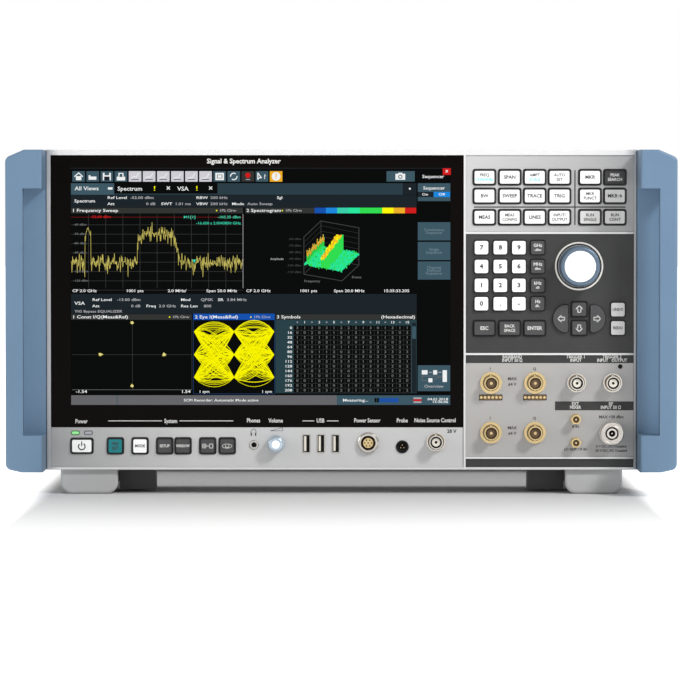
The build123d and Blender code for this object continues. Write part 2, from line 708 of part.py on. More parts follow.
def rocker():
    """Seen from the side, a shallow V: the lower half is pressed in at rest."""
    profile = Polyline(
        (ROCKER_PIVOT_Y - 3, -9.2),
        (ROCKER_PIVOT_Y + 3.0, -9.6),
        (ROCKER_PIVOT_Y + 4.6, 0),
        (ROCKER_PIVOT_Y + 7.0, 9.2),
        (ROCKER_PIVOT_Y - 3, 8.4),
        (ROCKER_PIVOT_Y - 3, -9.2),
    )
    face = Plane.YZ * make_face(profile)
    body = Pos(ROCKER_X - 6, 0, INLET_Z) * extrude(face, amount=12)
    pin_x = (ROCKER_X - 7.4, ROCKER_X + 7.4)
    return body + cross_rod(ROCKER_PIVOT_Y, INLET_Z, ROCKER_PIN_R, *pin_x)


def across(side, near, far):
    """The two X values of something on the left (-1) or right (1), in order."""
    return tuple(sorted((side * near, side * far)))


def rear_bumper(side, top):
    outer = CASE_HALF + 6
    z = (COVER_TOP - 36, COVER_TOP) if top else (0, FRAME_LOW + 44)
    body = block(across(side, CASE_HALF - 40, outer), (REAR_Y, REAR), z)
    body = fillet(body.edges().filter_by(Axis.Y), 5)
    body = fillet(body.faces().sort_by(Axis.Y)[-1].edges(), 4)
    notch_x = across(side, CASE_HALF - 24, CASE_HALF - 8)
    notch = block(notch_x, (REAR - 8, REAR + 1), (z[1] - 28, z[1] - 10))
    hook_x = across(side, CASE_HALF + FIT, outer)
    hook = block(hook_x, (REAR_Y - 14, REAR_Y + 6), (z[1] - 30, z[1] - 6))
    return body - notch + hook


# Feet and tilt legs
def leg_inner():
    """The inner face of the ear on the leg's inner side."""
    return FOOT_X + FOOT_WIDE / 2 - LEG_EAR - LEG_GAP - LEG_WIDE


def front_foot(side):
    x0, x1 = FOOT_X - FOOT_WIDE / 2, FOOT_X + FOOT_WIDE / 2
    end = FOOT_Y + FOOT_LONG
    foot = block((x0, x1), (FOOT_Y, end), (0, FRAME_LOW))
    foot = fillet(foot.edges().filter_by(Axis.Y).group_by(Axis.Z)[0], 8)
    foot = fillet(foot.faces().sort_by(Axis.Y)[0].edges().group_by(Axis.Z)[0], 2)
    lug_x = (leg_inner() - 5, leg_inner())
    for ear_x in (lug_x, (x1 - LEG_EAR, x1)):
        foot += block(ear_x, (end - 4, LEG_PIVOT_Y + 6), (2, FRAME_LOW))
    foot += block((lug_x[0], x0 + 1), (end - 10, end - 2), (2, FRAME_LOW))
    pin_r = LEG_PIN_R + SHAFT_CLEARANCE
    foot -= cross_rod(LEG_PIVOT_Y, LEG_Z, pin_r, lug_x[0] + 1.5, x1 - 1.5)
    return foot if side > 0 else mirror(foot, about=Plane.YZ)


def tilt_leg(side):
    x0 = leg_inner() + LEG_GAP
    x1 = x0 + LEG_WIDE - LEG_GAP
    y = (LEG_PIVOT_Y, LEG_PIVOT_Y + LEG_LONG)
    leg = block((x0, x1), y, (LEG_Z - LEG_THICK / 2, LEG_Z + LEG_THICK / 2))
    leg = fillet(leg.edges().filter_by(Axis.Z).group_by(Axis.Y)[-1], 6)
    leg -= block((x0 + 12, x1 - 12), (y[0] + 14, y[1] - 12), (0, FRAME_LOW))
    leg += cross_rod(LEG_PIVOT_Y, LEG_Z, LEG_THICK / 2, x0, x1)
    leg += cross_rod(LEG_PIVOT_Y, LEG_Z, LEG_PIN_R, x0 - 3, x1 + 3)
    return leg if side > 0 else mirror(leg, about=Plane.YZ)


def build():
    os.makedirs("parts", exist_ok=True)
    save("front_frame", front_frame())
    save("display_glass", display_glass())
    save("lcd_module", lcd_module())
    save("control_strip", control_strip())
    save("function_panel", function_panel())
    save("keypad_panel", keypad_panel(), band_plate())
    save("connector_panel", connector_panel())
    save("handle_left", handle(-1))
    save("handle_right", handle(1))
    save("screws", *screws())
    save("top_cover", top_cover())
    save("bottom_cover", bottom_cover())
    save("rear_panel", rear_panel())
    save("chassis", chassis())
    save("power_supply", power_supply())
    save("rf_module", rf_module())
    save("computer_board", computer_board())
    save("front_board", *front_board())
    save("knob_mounts", *knob_mounts())
    save("fan_frames", *[fan_frame(place) for place in FAN_PLACES])
    save("bnc_gold", *[bnc(place, GOLD_BNC_FLANGE_R, PANEL_Y) for place in GOLD_BNC])
    front_bnc = [bnc(place, NICKEL_BNC_FLANGE_R, PANEL_Y) for place in NICKEL_BNC]
    rear_bnc = [bnc(place, NICKEL_BNC_FLANGE_R, REAR_Y, 1) for place in REAR_BNC]
    save("bnc_nickel", *front_bnc, *rear_bnc)
    save("sma_jacks", *[sma(place) for place in SMA_PLACES])
    save("rf_input", rf_input())
    phones = small_jack(PHONES_PLACE, PHONES_R, PHONES_BORE_R, 14)
    probe = small_jack(PROBE_PLACE, PROBE_R, 2.9, 8)
    save("round_sockets", sensor_socket(), probe, phones)
    rear_ports = [rear_port(*size) for size in DATA_PORTS]
    save("data_ports", *[usb_port(place) for place in USB_PLACES], *rear_ports)
    strips = []
    for x, z in STRIP_PLACES:
        strips.append(slab(x, z, STRIP_SIZE, PANEL_Y - 0.8, PANEL_BACK, 0.4))
    lights = []
    for x, z in LIGHT_PLACES:
        lights.append(slab(x, z, LIGHT_SIZE, PANEL_Y - 0.3, PANEL_BACK, 1.3))
    save("panel_inserts", *strips, *lights)
    save("mains_inlet", *mains_inlet())
    save("front_feet", front_foot(-1), front_foot(1))
    corners = [(side, top) for side in (-1, 1) for top in (False, True)]
    save("rear_bumpers", *[rear_bumper(*corner) for corner in corners])
    save("tilt_leg_left", tilt_leg(-1))
    save("tilt_leg_right", tilt_leg(1))
    save("fan_rotor_outer", fan_rotor(FAN_PLACES[0]))
    save("fan_rotor_inner", fan_rotor(FAN_PLACES[1]))
    save("power_rocker", rocker())
    save("main_knob", knob(KNOB_X, KNOB_Z, KNOB_R, KNOB_FACE_R, KNOB_TALL, SHAFT_R, 14))
    volume = knob(VOLUME_X, VOLUME_Z, VOLUME_R, VOLUME_R - 0.6, VOLUME_TALL, VOLUME_SHAFT_R, 12)
    save("volume_knob", volume)
    save("key_left", side_arrow_key(-1))
    save("key_right", side_arrow_key(1))
    for name, places in key_groups().items():
        save(name, *[key(*place) for place in places])


build()
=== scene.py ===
import math
import random

import bmesh
import bpy
from mathutils import Matrix, Vector


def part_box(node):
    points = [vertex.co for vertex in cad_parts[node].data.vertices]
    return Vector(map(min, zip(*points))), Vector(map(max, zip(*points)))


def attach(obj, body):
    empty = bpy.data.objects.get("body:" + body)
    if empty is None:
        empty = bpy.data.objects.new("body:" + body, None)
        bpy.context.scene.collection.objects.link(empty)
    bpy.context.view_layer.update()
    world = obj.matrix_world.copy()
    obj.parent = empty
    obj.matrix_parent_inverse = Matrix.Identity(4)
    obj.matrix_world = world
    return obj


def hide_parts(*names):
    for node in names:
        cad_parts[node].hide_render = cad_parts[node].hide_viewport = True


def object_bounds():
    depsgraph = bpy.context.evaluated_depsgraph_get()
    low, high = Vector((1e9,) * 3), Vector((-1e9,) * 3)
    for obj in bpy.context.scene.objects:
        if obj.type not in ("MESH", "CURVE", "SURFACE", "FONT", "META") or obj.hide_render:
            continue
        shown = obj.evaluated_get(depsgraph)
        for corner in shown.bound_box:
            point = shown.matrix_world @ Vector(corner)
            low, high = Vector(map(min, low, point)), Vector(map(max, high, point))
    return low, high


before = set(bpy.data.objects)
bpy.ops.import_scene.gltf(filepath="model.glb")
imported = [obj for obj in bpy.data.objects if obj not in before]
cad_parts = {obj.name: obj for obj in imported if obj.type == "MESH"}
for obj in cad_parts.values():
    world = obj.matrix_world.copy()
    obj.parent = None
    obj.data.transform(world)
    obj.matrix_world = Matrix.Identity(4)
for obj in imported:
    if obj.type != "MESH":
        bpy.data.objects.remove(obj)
cad_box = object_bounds()
MM = 0.001

# Studio
# A white table under broad soft lamps, with the white room behind it, so that
# the painted and plated surfaces show gentle gradients instead of hard glints.
ROOM_LIGHT = 0.58
scene = bpy.context.scene
scene.view_settings.view_transform = "Standard"


class Wire:
    """An output socket that can be used in sums."""

    def __init__(self, tree, socket):
        self.tree = tree
        self.socket = socket

    def sum(self, operation, first, second):
        node = self.tree.nodes.new("ShaderNodeMath")
        node.operation = operation
        for place, value in enumerate((first, second)):
            if isinstance(value, Wire):
                self.tree.links.new(value.socket, node.inputs[place])
            else:
                node.inputs[place].default_value = value
        return Wire(self.tree, node.outputs[0])

    def __add__(self, other):
        return self.sum("ADD", self, other)

    def __sub__(self, other):
        return self.sum("SUBTRACT", self, other)

    def __rsub__(self, other):
        return self.sum("SUBTRACT", other, self)

    def __mul__(self, other):
        return self.sum("MULTIPLY", self, other)

    def __gt__(self, other):
        return self.sum("GREATER_THAN", self, other)

    __radd__ = __add__
    __rmul__ = __mul__


class Finish:
    """A surface finish: one shader, its constants, and the nodes that vary over the surface."""

    def __init__(self, name, colour, **constants):
        self.material = bpy.data.materials.new(name)
        self.material.use_nodes = True
        self.tree = self.material.node_tree
        self.shader = self.tree.nodes["Principled BSDF"]
        self.constant("Base Color", (*colour, 1))
        for socket, value in constants.items():
            self.constant(socket.replace("_", " "), value)

    def constant(self, socket, value):
        self.shader.inputs[socket].default_value = value

    def node(self, kind, settings=None, output=0, **inputs):
        made = self.tree.nodes.new("ShaderNode" + kind)
        for name, value in (settings or {}).items():
            if name == "stops":
                for place, stop in enumerate(value):
                    element = made.color_ramp.elements
                    point = element[place] if place < 2 else element.new(stop[0])
                    point.position = stop[0]
                    point.color = (*stop[1], 1)
            else:
                setattr(made, name, value)
        for name, value in inputs.items():
            key = int(name[1:]) if name[0] == "i" and name[1:].isdigit() else name.replace("_", " ")
            if isinstance(value, Wire):
                self.tree.links.new(value.socket, made.inputs[key])
            else:
                made.inputs[key].default_value = value
        return Wire(self.tree, made.outputs[output])

    def vary(self, socket, wire):
        self.tree.links.new(wire.socket, self.shader.inputs[socket])

    def place(self):
        return self.node("TexCoord", output=3)

    def across(self):
        """The place along X."""
        return self.node("SeparateXYZ", Vector=self.place())

    def aside(self):
        """The distance from the middle plane, to either side."""
        return self.node("Math", {"operation": "ABSOLUTE"}, i0=self.across())

    def noise(self, scale, detail=3.0, stretch=None):
        spot = self.place()
        if stretch:
            spot = self.node("Mapping", Vector=spot, Scale=stretch)
        return self.node("TexNoise", Vector=spot, Scale=scale, Detail=detail)

    def mix(self, factor, first, second):
        blend = {"data_type": "RGBA"}
        return self.node("Mix", blend, 2, i0=factor, i6=(*first, 1), i7=(*second, 1))

    def mottle(self, first, second, scale, detail=3.0, stretch=None):
        self.vary("Base Color", self.mix(self.noise(scale, detail, stretch), first, second))

    def rough(self, middle, spread, scale, stretch=None):
        self.vary("Roughness", self.noise(scale, 4.0, stretch) * spread + (middle - spread / 2))

    def grain(self, scale, depth, strength=0.5, detail=2.0, stretch=None):
        height = self.noise(scale, detail, stretch)
        self.vary("Normal", self.node("Bump", Height=height, Distance=depth, Strength=strength))


def dress(finish, *nodes):
    """Gives CAD nodes a finish."""
    for name in nodes:
        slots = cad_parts[name].data.materials
        slots.clear()
        slots.append(finish.material)


def shade(finish):
    return finish.material


world = bpy.data.worlds.new("white_room")
world.use_nodes = True
room = world.node_tree
room_glow = room.nodes["Background"]
room_glow.inputs["Color"].default_value = (1, 1, 1, 1)
seen = Wire(room, room.nodes.new("ShaderNodeLightPath").outputs["Is Camera Ray"])
room.links.new((seen * (1 - ROOM_LIGHT) + ROOM_LIGHT).socket, room_glow.inputs["Strength"])
scene.world = world

LAMPS = {
    "lamp_key": ((1.5, -1.9, 1.7), (0.0, -0.1, 0.1), 0.45, 48),
    "lamp_over": ((-0.3, 0.2, 2.2), (0.0, 0.0, 0.1), 1.8, 14),
    "lamp_left": ((-2.2, -1.6, 0.9), (0.0, -0.2, 0.1), 1.2, 12),
    "lamp_rear": ((0.8, 1.8, 1.6), (0.0, 0.1, 0.1), 1.2, 8),
    "lamp_under": ((0.0, 0.05, 0.0165), (0.0, 0.051, 0.0), 0.34, 0.15),
}
for name, (spot, aim, size, power) in LAMPS.items():
    light = bpy.data.lights.new(name, "AREA")
    light.size = size
    light.energy = power
    lamp = bpy.data.objects.new(name, light)
    lamp.location = spot
    lamp.rotation_euler = (Vector(aim) - Vector(spot)).to_track_quat("-Z", "Y").to_euler()
    lamp.visible_camera = False
    scene.collection.objects.link(lamp)

# The table gives off its own light away from the instrument as a painted glow,
# so that only the ground in front of the feet shows a soft, painted shade.
table_finish = Finish("table_painted_glow_and_shade", (0.62, 0.62, 0.62), Roughness=0.6, Specular_IOR_Level=0.1)
table_finish.mottle((0.61, 0.61, 0.61), (0.64, 0.64, 0.64), 3.0)
along = table_finish.node("SeparateXYZ", output=1, Vector=table_finish.place())
soft = {"interpolation_type": "SMOOTHSTEP"}
# painted shade: the glow fades out in front of and beside the instrument, leaving the table's grey
PAINTED_SHADE_SIDE = (0.200, 0.222)
PAINTED_SHADE_ENDS = ((-0.27, -0.60, 0.26), (-0.60, -0.75, 1.0), (0.26, 0.30, 1.0))
sideways = {"From_Min": PAINTED_SHADE_SIDE[0], "From_Max": PAINTED_SHADE_SIDE[1]}
glow = table_finish.node("MapRange", soft, Value=table_finish.aside(), **sideways)
for near, far, glow_most in PAINTED_SHADE_ENDS:
    reach = {"From_Min": near, "From_Max": far, "To_Max": glow_most}
    glow = glow.sum("MAXIMUM", glow, table_finish.node("MapRange", soft, Value=along, **reach))
table_finish.vary("Emission Color", table_finish.mix(glow, (0, 0, 0), (1, 1, 1)))
table_finish.constant("Emission Strength", 1.0)
TABLE_HALF = 12
table_mesh = bpy.data.meshes.new("table")
shape = bmesh.new()
bmesh.ops.create_grid(shape, x_segments=4, y_segments=4, size=TABLE_HALF)
shape.to_mesh(table_mesh)
shape.free()
table = bpy.data.objects.new("table", table_mesh)
table_mesh.materials.append(shade(table_finish))
scene.collection.objects.link(table)

LENS = 243.5
camera_data = bpy.data.cameras.new("camera")
camera_data.lens = LENS
camera = bpy.data.objects.new("camera", camera_data)
camera.location = (0.006, -3.412, 0.200)
aim = Vector((-0.001, cad_box[0][1] + 0.040, 0.1075))
camera.rotation_euler = (aim - camera.location).to_track_quat("-Z", "Y").to_euler()
scene.collection.objects.link(camera)
scene.camera = camera

# Mesh helpers used by every section below: each one adds an operator-made
# solid to a bmesh, and finish_piece turns the bmesh into a piece on a body.


def add_slab(shape, x, z, size, y, corner=0.0, steps=4, soften=0.0):
    """A plate facing the operator, y being (front, back), with rounded corners."""
    made = bmesh.ops.create_cube(shape, size=1.0)["verts"]
    scale = (size[0], y[1] - y[0], size[1])
    centre = Vector((x, (y[0] + y[1]) / 2, z))
    bmesh.ops.scale(shape, vec=scale, verts=made)
    bmesh.ops.translate(shape, vec=centre, verts=made)
    faces = set(face for vert in made for face in vert.link_faces)
    edges = set(edge for vert in made for edge in vert.link_edges)
    upright = [edge for edge in edges if abs((edge.verts[0].co - edge.verts[1].co).y) > 1e-9]
    if corner:
        settings = {"affect": "EDGES", "profile": 0.5, "material": -1, "clamp_overlap": True}
        bent = bmesh.ops.bevel(shape, geom=upright, offset=corner, segments=steps, **settings)
        faces = set(face for face in faces if face.is_valid) | set(bent["faces"])
    if soften:
        front = [face for face in faces if face.is_valid and face.normal.y < -0.9]
        rim = [edge for face in front for edge in face.edges]
        settings = {"affect": "EDGES", "profile": 0.5, "material": -1, "clamp_overlap": True}
        bmesh.ops.bevel(shape, geom=rim, offset=soften, segments=2, **settings)


def add_rod(shape, x, z, radii, y, sides=32):
    """A round bar along Y from its front radius to its back radius."""
    turn = Matrix.Translation((x, (y[0] + y[1]) / 2, z)) @ Matrix.Rotation(math.pi / 2, 4, "X")
    bmesh.ops.create_cone(
        shape,
        cap_ends=True,
        segments=sides,
        radius1=radii[1],
        radius2=radii[0],
        depth=y[1] - y[0],
        matrix=turn,
    )


def add_turned(shape, x, z, outline, sides=48):
    """A turned piece: outline is (radius, y) from the axis at the front to the axis at the back."""
    start = [shape.verts.new((x + radius, y, z)) for radius, y in outline]
    edges = [shape.edges.new(pair) for pair in zip(start, start[1:])]
    spun = bmesh.ops.spin(
        shape,
        geom=start + edges,
        cent=(x, 0, z),
        axis=(0, 1, 0),
        angle=2 * math.pi,
        steps=sides,
        use_merge=True,
    )
    bmesh.ops.remove_doubles(shape, verts=shape.verts[:], dist=1e-7)
    return spun


def finish_piece(shape, name, finish, body, smooth=False, stands_for=()):
    """Turns a bmesh into a piece that rides on a body."""
    bmesh.ops.recalc_face_normals(shape, faces=shape.faces[:])
    mesh = bpy.data.meshes.new(name)
    shape.to_mesh(mesh)
    shape.free()
    if smooth:
        mesh.shade_smooth()
        mesh.set_sharp_from_angle(angle=math.radians(35))
    mesh.materials.append(shade(finish))
    piece = bpy.data.objects.new(name, mesh)
    scene.collection.objects.link(piece)
    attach(piece, body)
    if stands_for:
        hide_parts(*stands_for)
    return piece


def islands(name):
    """The boxes of the separate solids of a CAD node, from left to right."""
    copy = bmesh.new()
    copy.from_mesh(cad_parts[name].data)
    bmesh.ops.remove_doubles(copy, verts=copy.verts[:], dist=1e-6)
    left = set(copy.verts)
    found = []
    while left:
        front = [left.pop()]
        group = list(front)
        while front:
            near = [edge.other_vert(front[-1]) for edge in front[-1].link_edges]
            front.pop()
            fresh = [vert for vert in near if vert in left]
            left.difference_update(fresh)
            front += fresh
            group += fresh
        low = Vector(min(vert.co[axis] for vert in group) for axis in range(3))
        high = Vector(max(vert.co[axis] for vert in group) for axis in range(3))
        found.append((low, high))
    copy.free()
    return sorted(found, key=lambda pair: (round(pair[0].x, 4), pair[0].z))


def add_words(shape, words, x, z, y, size, align="CENTER", narrow=1.0, thick=0.00004, bold=0.022):
    """Lettering that faces the operator, with its own thin body."""
    curve = bpy.data.curves.new("words", "FONT")
    curve.body = words
    curve.size = size
    curve.align_x = align
    curve.align_y = "CENTER"
    curve.space_line = 0.78
    curve.resolution_u = 2
    curve.extrude = thick
    curve.offset = size * bold
    holder = bpy.data.objects.new("words", curve)
    mesh = bpy.data.meshes.new_from_object(holder)
    lay = Matrix.Translation((x, y - thick, z)) @ Matrix.Rotation(math.pi / 2, 4, "X")
    mesh.transform(lay @ Matrix.Diagonal((narrow, 1, 1, 1)))
    shape.from_mesh(mesh)
    bpy.data.objects.remove(holder)
    bpy.data.meshes.remove(mesh)
    bpy.data.curves.remove(curve)


# Case
# The top cover is folded steel sheet with cooling slots, and the bottom cover
# is a shallow tray. Both have a fine textured light-grey powder paint.
powder_paint = Finish("powder_paint", (0.46, 0.46, 0.455))
powder_paint.mottle((0.44, 0.44, 0.435), (0.48, 0.48, 0.475), 35.0)
powder_paint.rough(0.55, 0.16, 60.0)
powder_paint.grain(1400.0, 0.00025, 0.5)
dress(powder_paint, "top_cover", "bottom_cover")

rear_plate = Finish("rear_plate", (0.43, 0.44, 0.45), Metallic=0.6)
rear_plate.mottle((0.40, 0.41, 0.42), (0.46, 0.47, 0.48), 90.0, 4.0, (1, 1, 14))
rear_plate.rough(0.42, 0.14, 220.0, (1, 1, 12))
dress(rear_plate, "rear_panel")

zinc = Finish("zinc_plate", (0.62, 0.61, 0.58), Metallic=1.0)
zinc.mottle((0.55, 0.54, 0.50), (0.68, 0.67, 0.66), 45.0)
zinc.rough(0.36, 0.18, 80.0)
dress(zinc, "chassis", "screws")

module_tin = Finish("module_tin", (0.66, 0.66, 0.65), Metallic=0.9)
module_tin.rough(0.40, 0.14, 50.0)
module_tin.mottle((0.60, 0.60, 0.60), (0.70, 0.70, 0.69), 30.0)
dress(module_tin, "power_supply", "rf_module", "lcd_module")

solder_mask = Finish("solder_mask", (0.02, 0.12, 0.06), Coat_Weight=0.3)
solder_mask.mottle((0.015, 0.10, 0.05), (0.03, 0.16, 0.08), 120.0)
solder_mask.rough(0.45, 0.1, 70.0)
dress(solder_mask, "computer_board", "front_board")

# Front frame
# One die casting with ribs between the panels. It is painted a pale satin
# silver; its colour is darkened along the outer sides, next to the handles, as
# painted shade.
silver_paint = Finish("silver_paint", (0.68, 0.68, 0.67), Metallic=0.25)
# painted shade: the silver is darker along the outer sides of the frame
FRAME_PAINTED_SHADE = {"From_Min": 0.197, "From_Max": 0.204}
frame_painted_shade = silver_paint.node("MapRange", Value=silver_paint.aside(), **FRAME_PAINTED_SHADE)
frame_tone_and_shade = silver_paint.noise(25.0) * 0.2 - 0.1 + frame_painted_shade
silver_paint.vary("Base Color", silver_paint.mix(frame_tone_and_shade, (0.67, 0.67, 0.67), (0.36, 0.37, 0.385)))
silver_paint.rough(0.42, 0.10, 90.0)
silver_paint.grain(2200.0, 0.0001, 0.3)
dress(silver_paint, "front_frame")

# Control strip and panels
# Printed aluminium foils on plates: a silver strip that lightens to the right,
# two light-grey panels darkened to the right as painted shade, and a charcoal
# keypad panel.
def graded_foil(name, node, left, right, reach=1.0):
    """A foil whose grey changes from the left edge over a share of its width."""
    low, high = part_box(node)
    foil = Finish(name, left, Metallic=0.25)
    ends = {"From_Min": low[0], "From_Max": low[0] + (high[0] - low[0]) * reach}
    share = foil.node("MapRange", Value=foil.across(), **ends)
    share = share + (foil.noise(70.0) * 0.1 - 0.05)
    foil.vary("Base Color", foil.mix(share, left, right))
    foil.rough(0.42, 0.10, 120.0)
    foil.grain(2600.0, 0.00008, 0.3)
    dress(foil, node)
    return foil


graded_foil("strip_foil", "control_strip", (0.34, 0.34, 0.34), (0.53, 0.53, 0.53), 0.36)
# painted shade: the function and connector panels darken to the right
graded_foil("function_foil_painted_shade", "function_panel", (0.51, 0.505, 0.51), (0.32, 0.32, 0.32))
graded_foil("connector_foil_painted_shade", "connector_panel", (0.41, 0.40, 0.39), (0.37, 0.365, 0.36))

charcoal_foil = Finish("charcoal_foil", (0.05, 0.05, 0.05), Specular_IOR_Level=0.3)
charcoal_foil.mottle((0.032, 0.032, 0.032), (0.044, 0.044, 0.044), 60.0)
charcoal_foil.rough(0.5, 0.10, 120.0)
charcoal_foil.grain(2600.0, 0.00008, 0.3)
dress(charcoal_foil, "keypad_panel")

# Handles
# Two aluminium castings with an upright grip bar, painted satin blue-grey.
blue_paint = Finish("blue_paint", (0.108, 0.182, 0.275), Metallic=0.15)
blue_paint.mottle((0.100, 0.170, 0.262), (0.116, 0.194, 0.290), 22.0)
blue_paint.rough(0.45, 0.12, 70.0)
blue_paint.grain(1800.0, 0.00015, 0.4)
dress(blue_paint, "handle_left", "handle_right")

# Display
# A black touch glass with the picture of the panel behind it. The picture is
# laid on the glass as thin lit patches, lines and lettering.
display_black = Finish("display_black", (0.003, 0.0022, 0.0020), Specular_IOR_Level=0.03)
display_black.mottle((0.0024, 0.0018, 0.0016), (0.0038, 0.0028, 0.0024), 12.0)
display_black.rough(0.16, 0.05, 30.0)
dress(display_black, "display_glass")


def lit(name, colour, strength=1.0):
    """A colour of the lit picture: black glass that gives off its own light."""
    finish = Finish(name, (0.001, 0.001, 0.001), Roughness=0.3, Specular_IOR_Level=0.02)
    finish.constant("Emission Color", (*colour, 1))
    finish.constant("Emission Strength", strength)
    return finish


INKS = {
    "black": (0.0005, 0.0008, 0.0008),
    "slate": (0.0095, 0.016, 0.021),
    "bar": (0.045, 0.095, 0.125),
    "tab_row": (0.022, 0.046, 0.060),
    "head": (0.030, 0.032, 0.030),
    "grid": (0.055, 0.055, 0.055),
    "dim": (0.16, 0.17, 0.17),
    "grey": (0.42, 0.42, 0.44),
    "white": (0.86, 0.88, 0.88),
    "status": (0.13, 0.13, 0.14),
    "icon": (0.62, 0.61, 0.66),
    "blue": (0.005, 0.08, 0.42),
    "sky": (0.01, 0.24, 0.72),
    "yellow": (0.60, 0.52, 0.12),
    "gold": (1.0, 0.93, 0.0),
    "amber": (0.85, 0.42, 0.02),
    "red": (0.62, 0.01, 0.01),
    "dark_red": (0.16, 0.005, 0.005),
    "teal": (0.04, 0.62, 0.40),
    "green": (0.03, 0.72, 0.08),
    "mint": (0.02, 0.80, 0.34),
    "deep_blue": (0.010, 0.045, 0.14),
    "slate_word": (0.15, 0.22, 0.26),
    "deep_teal": (0.020, 0.050, 0.062),
    "pale_gold": (0.80, 0.76, 0.30),
    "bright_yellow": (0.95, 0.90, 0.0),
}
glass_low, glass_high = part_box("display_glass")
PICTURE_LEFT = glass_low.x + 13.8 * MM
PICTURE_TOP = glass_high.z - 9.6 * MM
PICTURE_WIDE = 264.3
PICTURE_TALL = 164.2
LAYER = 0.03 * MM
inks = {name: bmesh.new() for name in INKS}


def paint(ink, across, down, wide, tall, layer=1):
    """A rectangle of the picture, in millimetres from its top left corner."""
    x = PICTURE_LEFT + (across + wide / 2) * MM
    z = PICTURE_TOP - (down + tall / 2) * MM
    y = glass_low.y - layer * LAYER
    add_slab(inks[ink], x, z, (wide * MM, tall * MM), (y, y + LAYER * 0.9))


def write(ink, words, across, down, size=3.0, align="LEFT", narrow=1.38, layer=6):
    x = PICTURE_LEFT + across * MM
    z = PICTURE_TOP - down * MM
    add_words(inks[ink], words, x, z, glass_low.y - layer * LAYER, size * MM, align, narrow, 0.00001, 0.012)


def stroke(ink, points, thick, layer=3):
    """A line of the picture through points, each piece a thin turned strip."""
    y = glass_low.y - layer * LAYER
    for (u0, v0), (u1, v1) in zip(points, points[1:]):
        long = math.hypot(u1 - u0, v1 - v0)
        middle = (PICTURE_LEFT + (u0 + u1) / 2 * MM, y, PICTURE_TOP - (v0 + v1) / 2 * MM)
        turn = Matrix.Rotation(math.atan2(v1 - v0, u1 - u0), 4, "Y")
        size = Matrix.Diagonal(((long + thick * 0.6) * MM, LAYER * 0.9, thick * MM, 1))
        bmesh.ops.create_cube(inks[ink], size=1.0, matrix=Matrix.Translation(middle) @ turn @ size)


def spot(ink, across, down, radius, layer=4, sides=12):
    y = glass_low.y - layer * LAYER
    place = (PICTURE_LEFT + across * MM, PICTURE_TOP - down * MM)
    add_rod(inks[ink], place[0], place[1], (radius * MM, radius * MM), (y, y + LAYER * 0.9), sides)


# Picture: menu bar, tabs and side keys
paint("black", 0, 0, PICTURE_WIDE, PICTURE_TALL, 1)
paint("slate", -0.5, -0.9, PICTURE_WIDE + 1.0, 0.5, 1)
ICON = (8.7, 7.3)
ICON_STEP = 9.81
ICON_LEFT = 1.3
ICON_MIDDLE = 1.4 + ICON[1] / 2
for place in range(15):
    ink = "icon" if 4 <= place <= 9 else "head" if place == 12 else "amber" if place == 14 else "bar"
    paint(ink, ICON_LEFT + ICON_STEP * place, 1.4, ICON[0], ICON[1], 2)


def icon(place):
    """The middle of a menu picture."""
    return ICON_LEFT + ICON_STEP * place + ICON[0] / 2


def mark(ink, place, across, down, wide, tall, layer=3):
    """A rectangle of a menu picture, measured from the middle of the picture."""
    paint(ink, icon(place) + across, ICON_MIDDLE + down, wide, tall, layer)


def trace_mark(place, points, thick=0.7):
    stroke("white", [(icon(place) + across, ICON_MIDDLE + down) for across, down in points], thick, 4)


trace_mark(0, [(-2.8, 0.1), (0, -2.5), (2.8, 0.1)])
mark("white", 0, -1.9, -0.2, 3.8, 2.8)
mark("white", 1, -2.9, -0.8, 5.4, 3.1)
mark("bar", 1, -1.6, -1.5, 4.8, 1.6, 4)
mark("white", 2, -2.8, -2.5, 5.6, 5.2)
mark("bar", 2, -1.6, -2.5, 3.2, 1.7, 4)
mark("slate", 2, -1.9, 0.1, 3.8, 2.6, 4)
mark("white", 3, -2.9, 0.2, 5.8, 2.6)
mark("white", 3, -1.8, -2.5, 3.6, 2.6)
mark("bar", 3, -1.0, -1.8, 2.0, 2.2, 4)
for place in range(4, 10):
    mark("head", place, -2.6, 1.9, 5.2, 0.5)
    trace_mark(place, [(-2.6, 1.2), (-0.9, -1.4 + 0.3 * place), (0.7, 0.6), (2.5, -2.0)], 0.5)
mark("white", 10, -3.0, -2.5, 6.0, 5.1)
mark("bar", 10, -1.9, -1.3, 3.8, 2.7, 4)
mark("white", 10, -1.4, -0.9, 2.8, 1.9, 5)
for turn in range(2):
    arc = [math.radians(180 * turn + 30 * step) for step in range(5)]
    trace_mark(11, [(2.3 * math.cos(angle), 2.3 * math.sin(angle)) for angle in arc])
spot("red", icon(12), ICON_MIDDLE - 0.8, 1.8, 4, 20)
mark("grey", 12, -1.5, 1.9, 3.0, 0.5, 4)
trace_mark(13, [(-2.9, -2.4), (-0.4, 0.9), (-1.9, 0.9), (-2.9, 2.1), (-2.9, -2.4)])
write("white", "?", icon(13) + 1.9, ICON_MIDDLE + 0.4, 4.4, "CENTER", 1.1)
spot("white", icon(14), ICON_MIDDLE, 3.0, 4, 24)
write("amber", "?", icon(14), ICON_MIDDLE, 5.2, "CENTER", 1.1)
paint("bar", 219.8, 1.4, 19.6, 7.2, 2)
paint("white", 226.0, 3.2, 6.8, 4.2, 3)
paint("white", 228.0, 2.5, 2.8, 1.2, 3)
spot("bar", 229.4, 5.3, 1.5)
spot("white", 229.4, 5.3, 0.9, 5)

